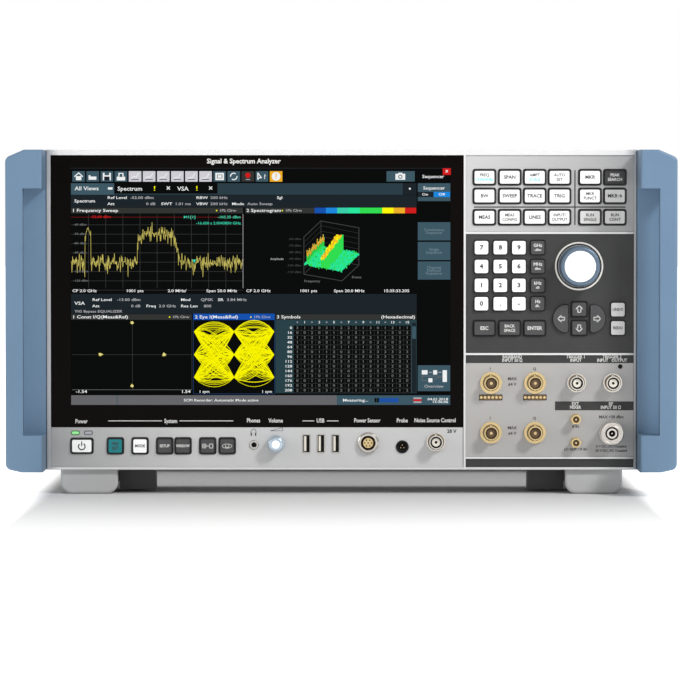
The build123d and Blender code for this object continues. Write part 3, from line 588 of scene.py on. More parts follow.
paint("tab_row", 0.2, 9.8, 230.8, 8.0, 2)
paint("slate", 231.0, 9.8, 9.6, 8.0, 2)
paint("bar", 0.4, 9.8, 29.8, 8.0, 3)
paint("black", 30.4, 9.8, 71.8, 7.2, 3)
write("white", "All Views", 2.9, 13.5, 3.8, "LEFT", 1.16)
paint("white", 26.0, 12.6, 3.2, 1.6, 4)
write("white", "Spectrum", 32.6, 13.7, 4.0, "LEFT", 1.12)
write("white", "VSA", 74.3, 13.7, 4.0, "LEFT", 1.12)
for left in (57.6, 87.0):
    write("gold", "!", left, 13.5, 4.6)
    write("white", "×", left + 8.8, 13.4, 5.6, "LEFT", 1.0)
spot("white", 236.0, 13.6, 0.7)

write("white", "Sequencer", 252.2, 5.2, 3.2, "CENTER", 1.12)
paint("red", 258.9, -0.6, 5.6, 4.6, 3)
write("white", "×", 261.7, 1.7, 4.2, "CENTER", 1.0)
SIDE_LEFT, SIDE_WIDE = 241.6, 22.6
for top, tall in ((9.8, 12.4), (36.9, 12.6), (50.6, 12.6), (64.2, 12.6), (136.5, 18.0)):
    paint("bar", SIDE_LEFT, top, SIDE_WIDE, tall, 2)
write("white", "Sequencer", 252.8, 13.2, 3.2, "CENTER", 1.12)
paint("slate", SIDE_LEFT, 15.8, SIDE_WIDE, 3.6, 3)
paint("sky", 252.6, 15.8, 11.4, 3.6, 4)
write("white", "On", 246.6, 17.6, 2.4, "CENTER")
write("white", "Off", 258.2, 17.6, 2.4, "CENTER")
SIDE_WORDS = (
    (43.2, "Continuous\nSequence"), (56.9, "Single\nSequence"), (70.5, "Channel\nDefined\nSequence"),
)
for middle, words in SIDE_WORDS:
    write("slate_word", words, 252.8, middle, 2.6, "CENTER", 1.15)
for across, down, wide, tall in ((244.4, 139.9, 4.0, 3.0), (252.3, 139.9, 2.8, 3.0),
                                 (258.9, 139.9, 3.0, 8.2), (249.0, 145.5, 2.8, 2.8)):
    paint("white", across, down, wide, tall, 3)
stroke("grey", [(249.4, 141.4), (251.2, 141.4)], 0.5)
stroke("grey", [(256.0, 141.4), (258.0, 141.4)], 0.5)
stroke("dim", [(258.6, 144.0), (244.6, 144.0), (244.6, 147.0), (247.8, 147.0)], 0.35)
stroke("dim", [(252.4, 147.0), (255.6, 145.0), (258.0, 145.0)], 0.35)
write("grey", "Overview", 252.8, 151.2, 2.9, "CENTER", 1.16)

# Picture: the two title bands and the status line
paint("slate", 0.2, 18.0, 240.6, 8.6, 2)
paint("slate", 0.2, 86.8, 240.6, 13.8, 2)
write("white", "Spectrum", 2.6, 22.2, 3.0, "LEFT", 1.25)
BAND_WORDS = (
    (25.6, 19.9, "Ref Level", "-52.00 dBm", 15.9),
    (25.6, 24.2, "Att", "0 dB", 26.9),
    (63.0, 24.2, "SWT", "1.01 ms", 9.6),
    (87.4, 19.9, "RBW", "200 kHz", 9.8),
    (87.4, 24.2, "VBW", "200 kHz", 9.8),
    (112.2, 24.2, "Mode", "Auto Sweep", 10.8),
    (15.0, 90.9, "Ref Level", "-13.00 dBm", 17.2),
    (15.0, 95.3, "Att", "0 dB", 27.0),
    (52.5, 95.3, "Freq", "2.0 GHz", 8.8),
    (76.6, 90.9, "Mod", "QPSK", 13.9),
    (76.6, 95.3, "Res Len", "800", 16.0),
    (102.4, 90.9, "SR", "3.84 MHz", 6.2),
)
for across, down, label, value, gap in BAND_WORDS:
    write("white", label, across, down, 2.6, "LEFT", 1.42)
    write("grey", value, across + gap, down, 2.6, "LEFT", 1.36)
write("white", "VSA", 2.6, 93.4, 3.2, "LEFT", 1.3)
write("grey", "YIG Bypass EQUALIZER", 2.6, 99.0, 2.4, "LEFT", 1.38)
write("white", "Sgl", 143.5, 19.9, 2.6)
HEADS = ((0.3, 26.8, 119.6, "1 Frequency Sweep"), (121.6, 26.8, 48.2, "2 Spectrogram"),
         (0.3, 100.9, 84.0, "1 Const I/Q(Meas&Ref)"), (142.6, 100.9, 98.0, "3 Symbols"))
for across, down, wide, words in HEADS:
    paint("head", across, down, wide, 3.9, 3)
    write("white", words, across + 0.7, down + 2.0, 3.0, "LEFT", 1.36)
paint("blue", 85.2, 100.6, 56.8, 4.3, 3)
write("white", "2 Eye I(Meas&Ref)", 86.4, 102.9, 3.0, "LEFT", 1.36)
write("white", "(Hexadecimal)", 239.8, 102.9, 3.0, "RIGHT", 1.36)
for across, down in ((101.6, 28.8), (147.4, 28.8), (68.8, 102.9), (125.4, 102.9)):
    spot("gold", across, down, 0.5, 6)
    write("grey", "1Pk Clrw", across + 1.9, down, 2.4, "LEFT", 1.28)
paint("status", 0.2, 157.4, 185.0, 6.7, 2)
paint("bar", 185.2, 157.4, 79.0, 6.7, 2)
paint("bar", 31.9, 157.4, 0.6, 6.7, 3)
write("white", "SCPI Recorder: Automatic Mode active", 78.6, 160.9, 2.5, "LEFT", 1.3)
write("white", "Measuring...", 189.3, 160.9, 2.7)
for place in range(10):
    paint("black" if place < 2 else "blue", 211.5 + 1.7 * place, 159.3, 1.4, 3.0, 3)
paint("grey", 238.6, 158.9, 5.6, 1.0, 3)
paint("red", 238.6, 160.2, 5.6, 1.2, 3)
paint("grey", 238.6, 161.7, 5.6, 1.0, 3)
write("white", "04.01.2018\n15:36:06", 262.8, 161.1, 2.4, "RIGHT", 1.36)
FOOT_WORDS = (
    (1.1, "CF 2.0 GHz"), (38.5, "1001 pts"), (67.5, "2.0 MHz/"), (94.4, "Span 20.0 MHz"),
    (122.1, "CF 2.0 GHz"), (159.3, "1001 pts"), (183.1, "Span 20.0 MHz"), (217.7, "15:35:33.205"),
)
for across, words in FOOT_WORDS:
    write("white", words, across, 84.7, 2.7, "LEFT", 1.3)

# Picture: frequency sweep with its grid, red limit and marker
SWEEP = (0.4, 31.2, 119.4, 51.6)
for place in range(1, 10):
    paint("grid", SWEEP[0] + SWEEP[2] * place / 10, SWEEP[1], 0.2, SWEEP[3], 3)
for place in range(8):
    paint("grid", SWEEP[0], SWEEP[1] + 7.4 + 6.5 * place, SWEEP[2], 0.2, 3)
    if place != 4:
        write("dim", f"-{60 + 10 * place} dBm", 2.0, SWEEP[1] + 7.4 + 6.5 * place, 1.9)
paint("grey", SWEEP[0] + SWEEP[2], SWEEP[1], 0.3, SWEEP[3], 3)
paint("dark_red", SWEEP[0], SWEEP[1] + 2.0, SWEEP[2], 0.35, 4)
write("red", "-52.00 dBm", 14.0, SWEEP[1] + 2.0, 2.2)
write("teal", "M1[1]", 78.6, SWEEP[1] + 2.2, 2.5)
write("teal", "-103.35 dBm", 118.4, SWEEP[1] + 2.2, 2.5, "RIGHT", 1.25)
write("teal", "-16.650 s 2.0043850 GHz", 118.4, SWEEP[1] + 6.4, 2.5, "RIGHT", 1.2)
chance = random.Random(7)


def level(share):
    """The height of the sweep, in millimetres below the top of its window."""
    floor_level = 33.4
    if share < 0.075 or share > 0.635:
        return floor_level
    if share < 0.115:
        return 9.0 + 380.0 * abs(share - 0.097) + (24.0 if abs(share - 0.097) > 0.017 else 0)
    if share < 0.385:
        return floor_level
    if share < 0.425:
        return 19.0 - 130.0 * (share - 0.385)
    if share < 0.595:
        return 13.6
    return 14.0 + 480.0 * (share - 0.595)


STEPS = 520
sweep = []
for step in range(STEPS + 1):
    share = step / STEPS
    fuzz = chance.gauss(0, 2.3) + (chance.random() < 0.07) * chance.uniform(2, 8)
    quiet = 0.15 if 0.083 < share < 0.112 else 1.0
    sweep.append((SWEEP[0] + SWEEP[2] * share, SWEEP[1] + min(48.5, level(share) + quiet * fuzz)))
stroke("yellow", sweep, 0.26, 5)
write("teal", "▼", 86.0, SWEEP[1] + 33.0, 3.0, "CENTER", 1.0)

# Picture: spectrogram drawn as ridges that recede to the right
COLOURS = ("blue", "sky", "teal", "mint", "green", "green", "gold", "amber", "red")
for place, ink in enumerate(COLOURS):
    paint(ink, 169.8 + 7.85 * place, 26.8, 7.85, 3.9, 3)
CAGE = (
    (162.3, 47.2), (174.2, 36.0), (200.6, 40.8), (200.6, 66.7), (188.8, 77.7), (162.3, 73.1), (162.3, 47.2),
)
stroke("grid", CAGE, 0.45, 3)
stroke("grid", [(174.2, 36.0), (174.2, 61.5), (200.6, 66.7)], 0.3, 3)
stroke("grid", [(174.2, 61.5), (162.3, 73.1)], 0.3, 3)
for place in range(1, 7):
    rise = 3.7 * place
    stroke("head", [(162.3, 73.1 - rise), (174.2, 61.5 - rise), (200.6, 66.7 - rise)], 0.25, 3)
ROWS, SLIVERS = 20, 48
SHEET = 8.0
for row in range(ROWS, -1, -1):
    back = row / ROWS
    for step in range(SLIVERS):
        share = step / SLIVERS
        hump = 6.2 + 3.8 * back if 0.38 < share - 0.05 * (1 - back) < 0.58 else 0.0
        spike = 10.5 * chance.uniform(0.7, 1.0) if abs(share - 0.08) < 0.025 and row % 3 == 0 else 0.0
        tall = SHEET + hump + spike + chance.gauss(0, 0.45)
        across = 162.6 + 11.9 * back + 26.2 * share
        top = 73.1 - 11.5 * back + 4.7 * share - tall
        layer = 4 + (ROWS - row) // 4
        paint("mint" if chance.random() < 0.7 else "green", across, top, 0.6, 1.5, layer)
        if hump:
            paint("green", across, top, 0.6, hump + 1.2, layer)
            crest = "gold" if chance.random() < 0.45 else "amber"
            paint(crest if share < 0.53 else "green", across, top, 0.6, 1.6, layer + 1)
        if spike:
            paint("green", across, top, 0.45, spike, layer)
            paint("amber", across, top, 0.45, spike * 0.4, layer + 1)
for place in range(6):
    write("grid", f"-{60 + 10 * place} dBm", 160.6, 48.6 + 4.6 * place, 1.9, "RIGHT")
write("grey", "Amplitude", 143.6, 62.5, 2.0, "CENTER", 1.1)
write("dim", "Frequency", 168.0, 77.9, 2.2, "CENTER", 1.2)
write("dim", "Frame", 199.0, 75.2, 2.2, "CENTER", 1.2)

# Picture: constellation with four states
CROSS = (42.8, 129.0)
paint("grid", 0.8, CROSS[1], 83.4, 0.2, 3)
paint("grid", CROSS[0], 105.0, 0.2, 48.0, 3)
paint("dim", 0.8, 153.4, 83.4, 0.25, 3)
paint("grid", 84.2, 105.0, 0.25, 48.4, 3)
for across, down in ((0, -22.1), (-22.2, -0.1), (22.1, -0.1), (0, 21.9)):
    for dot in range(16):
        place = (CROSS[0] + across + chance.gauss(0, 0.45), CROSS[1] + down + chance.gauss(0, 0.42))
        spot("yellow", place[0], place[1], 0.55)
    spot("pale_gold", CROSS[0] + across, CROSS[1] + down, 0.85, 5)
write("white", "-1.54", 3.4, 154.9, 2.8)
write("white", "1.54", 83.4, 154.9, 2.8, "RIGHT")

# Picture: eye diagram, two eyes high and three wide
EYE = (85.9, 105.0, 55.6, 48.2)
LEVELS = (0.165, 0.5, 0.828)
WAVES = 170
EYE_FRAME = ((85.2, 104.9, 0.35, 51.6), (141.7, 104.9, 0.35, 51.6), (85.2, 156.2, 56.8, 0.35))
for across, down, wide, tall in EYE_FRAME:
    paint("deep_blue", across, down, wide, tall, 3)
for wave in range(WAVES):
    stops = [chance.choice(LEVELS) for _ in range(3)]
    bows = [chance.uniform(-1, 1) for _ in range(2)]
    trace = []
    for cell in range(2):
        first, second = stops[cell], stops[cell + 1]
        for step in range(9):
            share = step / 8
            ease = 0.55 * share + 0.45 * share * share * (3 - 2 * share)
            bow = math.sin(math.pi * share) ** 0.75 * bows[cell] * 0.165
            down = min(1.0, max(0.0, first + (second - first) * ease + bow))
            trace.append((EYE[0] + EYE[2] * (cell + share) / 2, EYE[1] + EYE[3] * down))
    stroke("bright_yellow", trace, 0.30, 4)
write("white", "1 sym", 89.2, 154.9, 2.6, "LEFT", 1.2)
write("white", "1 sym", 140.2, 154.9, 2.6, "RIGHT", 1.2)

# Picture: table of symbols
TABLE = (155.2, 106.6, 81.6, 46.8)
TABLE_ROWS, TABLE_COLUMNS = 14, 16
paint("deep_teal", 142.4, 104.9, 98.4, 51.0, 2)
paint("black", TABLE[0], TABLE[1] + 2.2, TABLE[2], TABLE[3], 3)
paint("slate", 237.6, 107.0, 2.8, 48.6, 3)
paint("bar", 237.7, 109.4, 2.6, 8.6, 4)
for column in range(TABLE_COLUMNS):
    across = TABLE[0] + TABLE[2] * (column + 0.5) / TABLE_COLUMNS
    ink, text = ("white", str(column)) if column % 2 else ("grey", "+")
    write(ink, text, across, TABLE[1], 2.3, "CENTER", 1.3)
    paint("grid", across + TABLE[2] / TABLE_COLUMNS / 2, TABLE[1] + 2.2, 0.14, TABLE[3], 4)
for row in range(TABLE_ROWS):
    down = TABLE[1] + 2.2 + TABLE[3] * (row + 0.5) / TABLE_ROWS
    paint("grid", TABLE[0], down + TABLE[3] / TABLE_ROWS / 2, TABLE[2], 0.18, 4)
    write("white", str(16 * row), 154.2, down, 2.5, "RIGHT", 1.4)
    for column in range(TABLE_COLUMNS):
        across = TABLE[0] + TABLE[2] * (column + 0.5) / TABLE_COLUMNS
        write("dim", str(chance.randrange(4)), across, down, 2.5, "CENTER", 1.35)

for name, shape in inks.items():
    finish_piece(shape, f"picture_{name}", lit(f"picture_{name}", INKS[name]), "case")

# Printed panels
# Screen-printed bands, lines and words on the foils and under the display. All
# of them are thin and never move.
PANEL_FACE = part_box("control_strip")[0].y
INK_THICK = 0.05 * MM
band_ink = Finish("band_ink", (0.062, 0.062, 0.062), Specular_IOR_Level=0.25)
band_ink.mottle((0.030, 0.030, 0.030), (0.042, 0.042, 0.042), 80.0)
band_ink.rough(0.5, 0.1, 150.0)
dark_ink = Finish("dark_ink", (0.045, 0.045, 0.047), Specular_IOR_Level=0.2)
dark_ink.mottle((0.04, 0.04, 0.042), (0.06, 0.06, 0.06), 300.0)
dark_ink.rough(0.55, 0.1, 300.0)
white_ink = Finish("white_ink", (0.62, 0.62, 0.60), Specular_IOR_Level=0.2)
white_ink.mottle((0.58, 0.58, 0.56), (0.66, 0.66, 0.64), 300.0)
white_ink.rough(0.5, 0.1, 300.0)
cyan_ink = Finish("cyan_ink", (0.10, 0.55, 0.70), Specular_IOR_Level=0.2)
cyan_ink.mottle((0.09, 0.52, 0.67), (0.12, 0.58, 0.73), 300.0)
cyan_ink.rough(0.5, 0.1, 300.0)

bands = bmesh.new()
BANDS = ((145.05, 94.35, 116.9, 5.9), (176.1, 61.6, 54.8, 6.2))
for x, z, wide, tall in BANDS:
    add_slab(bands, x * MM, z * MM, (wide * MM, tall * MM), (PANEL_FACE - INK_THICK, PANEL_FACE))
finish_piece(bands, "panel_bands", band_ink, "case")

lines = bmesh.new()
for x, z, wide, tall in ((162.4, 206.6, 0.9, 38.2), (144.9, 200.0, 105.4, 0.9)):
    add_slab(lines, x * MM, z * MM, (wide * MM, tall * MM), (PANEL_FACE - INK_THICK, PANEL_FACE))
HEADPHONES = [(-1.7, -2.0), (-1.9, 0.2), (-1.3, 1.7), (0, 2.3), (1.3, 1.7), (1.9, 0.2), (1.7, -2.0)]
WEDGE = [(-4.2, -1.1), (4.2, 1.1), (4.2, -1.1), (-4.2, -1.1)]


def draw(shape, points, x, z, thick, y):
    """A printed line through points given in millimetres from (x, z)."""
    for (u0, v0), (u1, v1) in zip(points, points[1:]):
        long = (math.hypot(u1 - u0, v1 - v0) + thick * 0.7) * MM
        middle = (x + (u0 + u1) / 2 * MM, y - INK_THICK / 2, z + (v0 + v1) / 2 * MM)
        turn = Matrix.Rotation(-math.atan2(v1 - v0, u1 - u0), 4, "Y")
        size = Matrix.Diagonal((long, INK_THICK, thick * MM, 1))
        bmesh.ops.create_cube(shape, size=1.0, matrix=Matrix.Translation(middle) @ turn @ size)


draw(lines, HEADPHONES, -0.0613, 0.0432, 0.35, PANEL_FACE)
for side in (-1, 1):
    draw(lines, [(side * 1.5, -0.6), (side * 1.5, -2.2)], -0.0613, 0.0432, 0.9, PANEL_FACE)
draw(lines, WEDGE, -0.0452, 0.0453, 0.3, PANEL_FACE)
finish_piece(lines, "panel_lines", dark_ink, "case")

DARK_WORDS = (
    ("I", 103.6, 87.4, 2.6), ("Q", 134.5, 87.4, 2.6), ("I", 103.6, 53.0, 2.6), ("Q", 134.5, 53.0, 2.6),
    ("MAX", 118.9, 80.4, 2.9), ("±4 V", 118.9, 76.6, 2.9), ("MAX", 118.9, 46.2, 2.9),
    ("±4 V", 118.9, 42.4, 2.9), ("IF IN", 163.0, 47.0, 2.4), ("LO OUT / IF IN", 163.0, 31.2, 2.4),
    ("MAX +30 dBm", 187.9, 53.8, 2.8), ("0 V DC, DC Coupled", 187.9, 33.3, 2.4),
    ("50 V DC, AC Coupled", 187.9, 30.4, 2.4), ("28 V", 76.8, 43.8, 3.4),
)
words = bmesh.new()
for text, x, z, size in DARK_WORDS:
    add_words(words, text, x * MM, z * MM, PANEL_FACE, size * MM, narrow=1.0, bold=0.03)
finish_piece(words, "panel_words", dark_ink, "case")

LIGHT_WORDS = (
    ("BASEBAND\nINPUT 50 Ω", 118.9, 94.5, 3.2), ("TRIGGER 1\nINPUT", 163.2, 94.5, 3.2),
    ("TRIGGER 2\nINPUT   OUTPUT", 188.4, 94.5, 3.2), ("EXT\nMIXER", 162.9, 61.7, 3.2),
    ("RF\nINPUT 50 Ω", 187.6, 61.7, 3.2),
)
words = bmesh.new()
for text, x, z, size in LIGHT_WORDS:
    add_words(words, text, x * MM, z * MM, PANEL_FACE - INK_THICK, size * MM, narrow=0.86)
finish_piece(words, "band_words", white_ink, "case")

GLASS_WORDS = (
    ("Power", -181.2, 50.7), ("System", -118.9, 50.9), ("Phones", -61.3, 51.3), ("Volume", -45.8, 51.2),
    ("USB", -14.6, 51.2), ("Power Sensor", 17.9, 51.3), ("Probe", 42.3, 51.3),
    ("Noise Source Control", 65.2, 51.4),
)
glass_face = glass_low.y
words = bmesh.new()
for text, x, z in GLASS_WORDS:
    add_words(words, text, x * MM, z * MM, glass_face, 4.0 * MM, narrow=0.80)
for left, right in ((-162.4, -125.0), (-112.8, -75.4), (-27.2, -19.0), (-10.2, -2.0)):
    size = ((right - left) * MM, 0.5 * MM)
    add_slab(words, (left + right) / 2 * MM, 0.0511, size, (glass_face - INK_THICK, glass_face))
add_words(words, "Signal & Spectrum Analyzer", -0.0680, 0.2318, glass_face, 4.6 * MM)
finish_piece(words, "glass_words", white_ink, "case")

# Keys
# Moulded caps with softened rims. The caps stand for the CAD keys and have their
# size, and each key's legend is printed on its face and moves with it. The black
# skirt round each cap and the black outline on the panel round each key are
# painted shade of the gap.
KEY_LIP = 0.9 * MM
KEY_LIP_THICK = 1.0 * MM
KEY_ROUND = 1.3 * MM
KEY_SOFT = 0.45 * MM
SKIRT_DROP = 1.0 * MM
key_paints = {
    "white": ("key_white", (0.83, 0.83, 0.82), (0.90, 0.90, 0.89)),
    "pale": ("key_white", (0.50, 0.50, 0.49), (0.56, 0.56, 0.55)),
    "dark": ("key_dark", (0.046, 0.046, 0.048), (0.062, 0.062, 0.064)),
    "black": ("key_dark", (0.022, 0.022, 0.023), (0.032, 0.032, 0.033)),
    "teal": ("key_teal", (0.001, 0.165, 0.185), (0.003, 0.19, 0.205)),
}
key_finishes = {}
for name, (slot, first, second) in key_paints.items():
    plastic = Finish(f"key_{name}_plastic", first, Specular_IOR_Level=0.35)
    plastic.mottle(first, second, 140.0)
    plastic.rough(0.38, 0.12, 200.0)
    plastic.grain(3000.0, 0.00006, 0.3)
    key_finishes[name] = (plastic, slot)
# painted shade: the black of the key skirts and of the outlines round the keys
key_gap_shade_black = Finish("key_gap_shade_black", (0.016, 0.016, 0.017), Specular_IOR_Level=0.3)
key_gap_shade_black.mottle((0.013, 0.013, 0.014), (0.022, 0.022, 0.023), 140.0)
key_gap_shade_black.rough(0.45, 0.12, 200.0)
legend_finishes = {"dark": dark_ink, "white": white_ink, "cyan": cyan_ink}

# Each key: cap, ink of its legend, and the words, with the ink of a second line if it differs
KEYS = {
    "function_keys_top": (
        ("white", "dark", "FREQ", "CHANNEL", "cyan"), ("white", "dark", "SPAN"),
        ("white", "dark", "AMPT", "SCALE", "cyan"), ("white", "dark", "AUTO", "SET"),
        ("white", "dark", "MKR"), ("black", "white", "PEAK", "SEARCH"),
    ),
    "function_keys_middle": (
        ("white", "dark", "BW"), ("white", "dark", "SWEEP"), ("white", "dark", "TRACE"),
        ("white", "dark", "TRIG"), ("white", "dark", "MKR", "FUNCT"), ("pale", "dark", "MKR→"),
    ),
    "function_keys_bottom": (
        ("white", "dark", "MEAS"), ("white", "dark", "MEAS", "CONFIG"), ("white", "dark", "LINES"),
        ("white", "dark", "INPUT/", "OUTPUT"), ("pale", "dark", "RUN", "SINGLE"),
        ("pale", "dark", "RUN", "CONT"),
    ),
    "number_keys_seven": (("white", "dark", "7"), ("white", "dark", "8"), ("white", "dark", "9"),
                          ("dark", "white", "GHz", "-dBm")),
    "number_keys_four": (("white", "dark", "4"), ("white", "dark", "5"), ("white", "dark", "6"),
                         ("dark", "white", "MHz", "dBm")),
    "number_keys_one": (("white", "dark", "1"), ("white", "dark", "2"), ("white", "dark", "3"),
                        ("dark", "white", "kHz", "dB")),
    "number_keys_zero": (("white", "dark", "0"), ("white", "dark", "."), ("white", "dark", "-"),
                         ("dark", "white", "Hz", "dB..")),
    "key_escape": (("dark", "white", "ESC"),),
    "key_backspace": (("dark", "white", "BACK", "SPACE"),),
    "key_enter": (("dark", "white", "ENTER"),),
    "key_undo": (("pale", "dark", "UNDO"),),
    "key_redo": (("pale", "dark", "REDO"),),
    "key_up": (("dark", "white"),),
    "key_down": (("dark", "white"),),
    "key_power": (("white", "dark"),),
    "key_preset": (("teal", "dark", "PRE", "SET"),),
    "key_mode": (("white", "dark", "MODE"),),
    "key_setup": (("dark", "white", "SETUP"),),
    "key_display": (("dark", "white", "WINDOW"),),
    "key_file": (("dark", "white"),),
    "key_print": (("dark", "white"),),
}
ARROW = [(0, 2.5), (2.3, 0.2), (1.0, 0.2), (1.0, -2.1), (-1.0, -2.1), (-1.0, 0.2), (-2.3, 0.2), (0, 2.5)]
ARC_TURNS = [math.radians(turn) for turn in range(40, 325, 15)]
POWER_ARC = [(2.3 * math.sin(turn), -0.3 + 2.3 * math.cos(turn)) for turn in ARC_TURNS]
EYE_TURNS = [math.radians(turn) for turn in range(0, 361, 30)]
EYE_OUTLINE = [(3.4 * math.cos(turn), 1.5 * math.sin(turn)) for turn in EYE_TURNS]
SYMBOLS = {
    "key_up": (ARROW,),
    "key_down": ([(u, -v) for u, v in ARROW],),
    "key_left": ([(-v, u) for u, v in ARROW],),
    "key_right": ([(v, u) for u, v in ARROW],),
    "key_power": (POWER_ARC, [(0, 2.9), (0, 0.2)]),
    "key_file": (
        [(-3.6, -1.3), (-3.6, 1.3), (-1.2, 1.3), (-1.2, -1.3), (-3.6, -1.3)], [(-3.6, 0), (-1.2, 0)],
        [(-2.4, 1.3), (-2.4, -1.3)], [(-0.8, 0), (0.8, 0)],
        [(1.4, -1.4), (1.4, 1.4), (3.6, 1.4), (3.6, -1.4), (1.4, -1.4)],
    ),
    "key_print": (EYE_OUTLINE, [(-1.0, -0.9), (-1.0, 1.3), (1.2, 1.3), (1.2, -0.9), (-1.0, -0.9)]),
}
SYMBOL_THICK = {"key_power": 0.75, "key_file": 0.5, "key_print": 0.45}


def add_key(cap_shape, skirt_shape, low, high, inset):
    """A pale cap that stands out of a skirt painted black as the shade of the gap, and the wider lip behind
    the panel.
    """
    middle = (low + high) / 2
    lip_front = high.y - KEY_LIP_THICK
    lip = (high.x - low.x, high.z - low.z)
    skirt = (lip[0] - 2 * KEY_LIP, lip[1] - 2 * KEY_LIP)
    cap = (skirt[0] - 2 * inset, skirt[1] - 2 * inset)
    shoulder = low.y + SKIRT_DROP
    add_slab(cap_shape, middle.x, middle.z, cap, (low.y, shoulder + MM), KEY_ROUND - inset / 2, 4, KEY_SOFT)
    add_slab(skirt_shape, middle.x, middle.z, skirt, (shoulder, lip_front), KEY_ROUND, 4, 0.2 * MM)
    add_slab(skirt_shape, middle.x, middle.z, lip, (lip_front, high.y), KEY_ROUND)


def rounded(size, corner, steps=4):
    """The outline of a rounded rectangle around the origin."""
    points = []
    for quarter in range(4):
        side_x = 1 if quarter in (0, 3) else -1
        side_z = 1 if quarter in (0, 1) else -1
        for step in range(steps + 1):
            angle = math.pi / 2 * (quarter + step / steps)
            u = side_x * (size[0] / 2 - corner) + corner * math.cos(angle)
            v = side_z * (size[1] / 2 - corner) + corner * math.sin(angle)
            points.append((u, v))
    return points


def add_rim(shape, x, z, size, y, corner, width):
    """A flat outline, as a thin closed band around a rounded opening, painted black as the shade of the gap
    round a key.
    """
    rings = []
    for shrink, front in ((0, y), (0, y - INK_THICK), (width, y - INK_THICK), (width, y)):
        inner = (size[0] - 2 * shrink, size[1] - 2 * shrink)
        outline = rounded(inner, corner - shrink)
        rings.append([shape.verts.new((x + u, front, z + v)) for u, v in outline])
    for ring, following in zip(rings, rings[1:] + rings[:1]):
        for place in range(len(ring)):
            after = (place + 1) % len(ring)
            shape.faces.new((ring[place], ring[after], following[after], following[place]))


def print_legend(inks_here, key, middle, face, width):
    """The words of one key, on one or two lines, in the inks that it asks for."""
    ink, words = key[1], key[2:]
    second_ink = words[2] if len(words) > 2 else ink
    unit = width < 12 * MM
    if len(words) == 1:
        digit = len(words[0]) == 1
        size = 4.2 if digit else 2.7 if unit else 3.4
        small = 0.74 if len(words[0]) > 5 else 0.92
        narrow = 1.1 if digit else small if unit else 1.0
        bold = 0.04 if digit else 0.028
        add_words(inks_here[ink], words[0], middle.x, middle.z, face, size * MM, narrow=narrow, bold=bold)
        return
    first, second = (3.2, 2.3) if unit and ink == "white" else (2.9, 2.9)
    narrow = 1.0 if unit else 0.95
    rows = ((ink, words[0], 1.5, first), (second_ink, words[1], -1.6, second))
    for row_ink, text, up, size in rows:
        add_words(inks_here[row_ink], text, middle.x, middle.z + up * MM, face, size * MM, narrow=narrow)


# painted shade: black outlines on the panel round each key
gap_shade_outlines = bmesh.new()
for node, keys in KEYS.items():
    caps = {}
    skirts = bmesh.new()
    bare = node.startswith("number") or node in ("key_undo", "key_redo")
    legends = {ink: bmesh.new() for ink in legend_finishes}
    for key, (low, high) in zip(keys, islands(node)):
        middle = (low + high) / 2
        wide = high.x - low.x - 2 * KEY_LIP
        tall = high.z - low.z - 2 * KEY_LIP
        if key[0] not in caps:
            caps[key[0]] = bmesh.new()
        add_key(caps[key[0]], skirts, low, high, 0.1 * MM if bare else 0.6 * MM)
        size = (wide + 1.9 * MM, tall + 1.9 * MM)
        add_rim(gap_shade_outlines, middle.x, middle.z, size, PANEL_FACE, 1.9 * MM, 0.55 * MM)
        if len(key) > 2:
            print_legend(legends, key, middle, low.y, wide)
        for points in SYMBOLS.get(node, ()):
            draw(legends[key[1]], points, middle.x, middle.z, SYMBOL_THICK.get(node, 0.7), low.y)
    finish_piece(skirts, f"{node}_skirt", key_gap_shade_black, node, True, (node,))
    for cap, shape in caps.items():
        plastic, slot = key_finishes[cap]
        finish_piece(shape, f"{node}_{cap}", plastic, node, True, (node,))
    for ink, shape in legends.items():
        if shape.verts:
            finish_piece(shape, f"{node}_{ink}_print", legend_finishes[ink], node)
        else:
            shape.free()
finish_piece(gap_shade_outlines, "key_gap_shade_outlines", key_gap_shade_black, "case")

dress(key_finishes["dark"][0], "key_left", "key_right")
for node in ("key_left", "key_right"):
    low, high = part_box(node)
    shape = bmesh.new()
    side = -1 if node == "key_left" else 1
    middle = (low + high) / 2 - Vector((side * 0.7 * MM, 0, 0))
    for points in SYMBOLS[node]:
        draw(shape, points, middle.x, middle.z, 0.7, low.y)
    finish_piece(shape, f"{node}_white_print", white_ink, node)

# Knobs
# Turned aluminium knobs with a blue anodised skirt, fine grip ribs and a white
# lens with a painted glow. The large one has a bright edge and sits in a pale collar.
blue_anodised = Finish("blue_anodised", (0.105, 0.15, 0.205), Metallic=0.55)
blue_anodised.mottle((0.090, 0.132, 0.185), (0.125, 0.172, 0.228), 60.0)
blue_anodised.rough(0.40, 0.12, 260.0)
bright_edge = Finish("bright_edge", (0.56, 0.57, 0.58), Metallic=0.7)
bright_edge.mottle((0.52, 0.53, 0.54), (0.60, 0.61, 0.62), 90.0)
bright_edge.rough(0.34, 0.1, 200.0)
# painted glow: the white lens gives off light though it is no lamp
lens_white_painted_glow = Finish("lens_white_painted_glow", (0.9, 0.92, 0.95), Roughness=0.35)
lens_white_painted_glow.mottle((0.86, 0.90, 0.95), (0.95, 0.96, 0.98), 90.0)
lens_white_painted_glow.constant("Emission Color", (0.92, 0.96, 1.0, 1))
lens_white_painted_glow.constant("Emission Strength", 0.35)
collar_paint = Finish("collar_paint", (0.70, 0.68, 0.64), Metallic=0.3)
collar_paint.mottle((0.66, 0.64, 0.60), (0.74, 0.72, 0.68), 70.0)
collar_paint.rough(0.36, 0.1, 120.0)
dress(collar_paint, "knob_mounts")
pale_anodised = Finish("pale_anodised", (0.55, 0.64, 0.74), Metallic=0.7)
pale_anodised.mottle((0.50, 0.60, 0.70), (0.60, 0.69, 0.78), 60.0)
pale_anodised.rough(0.28, 0.12, 260.0)

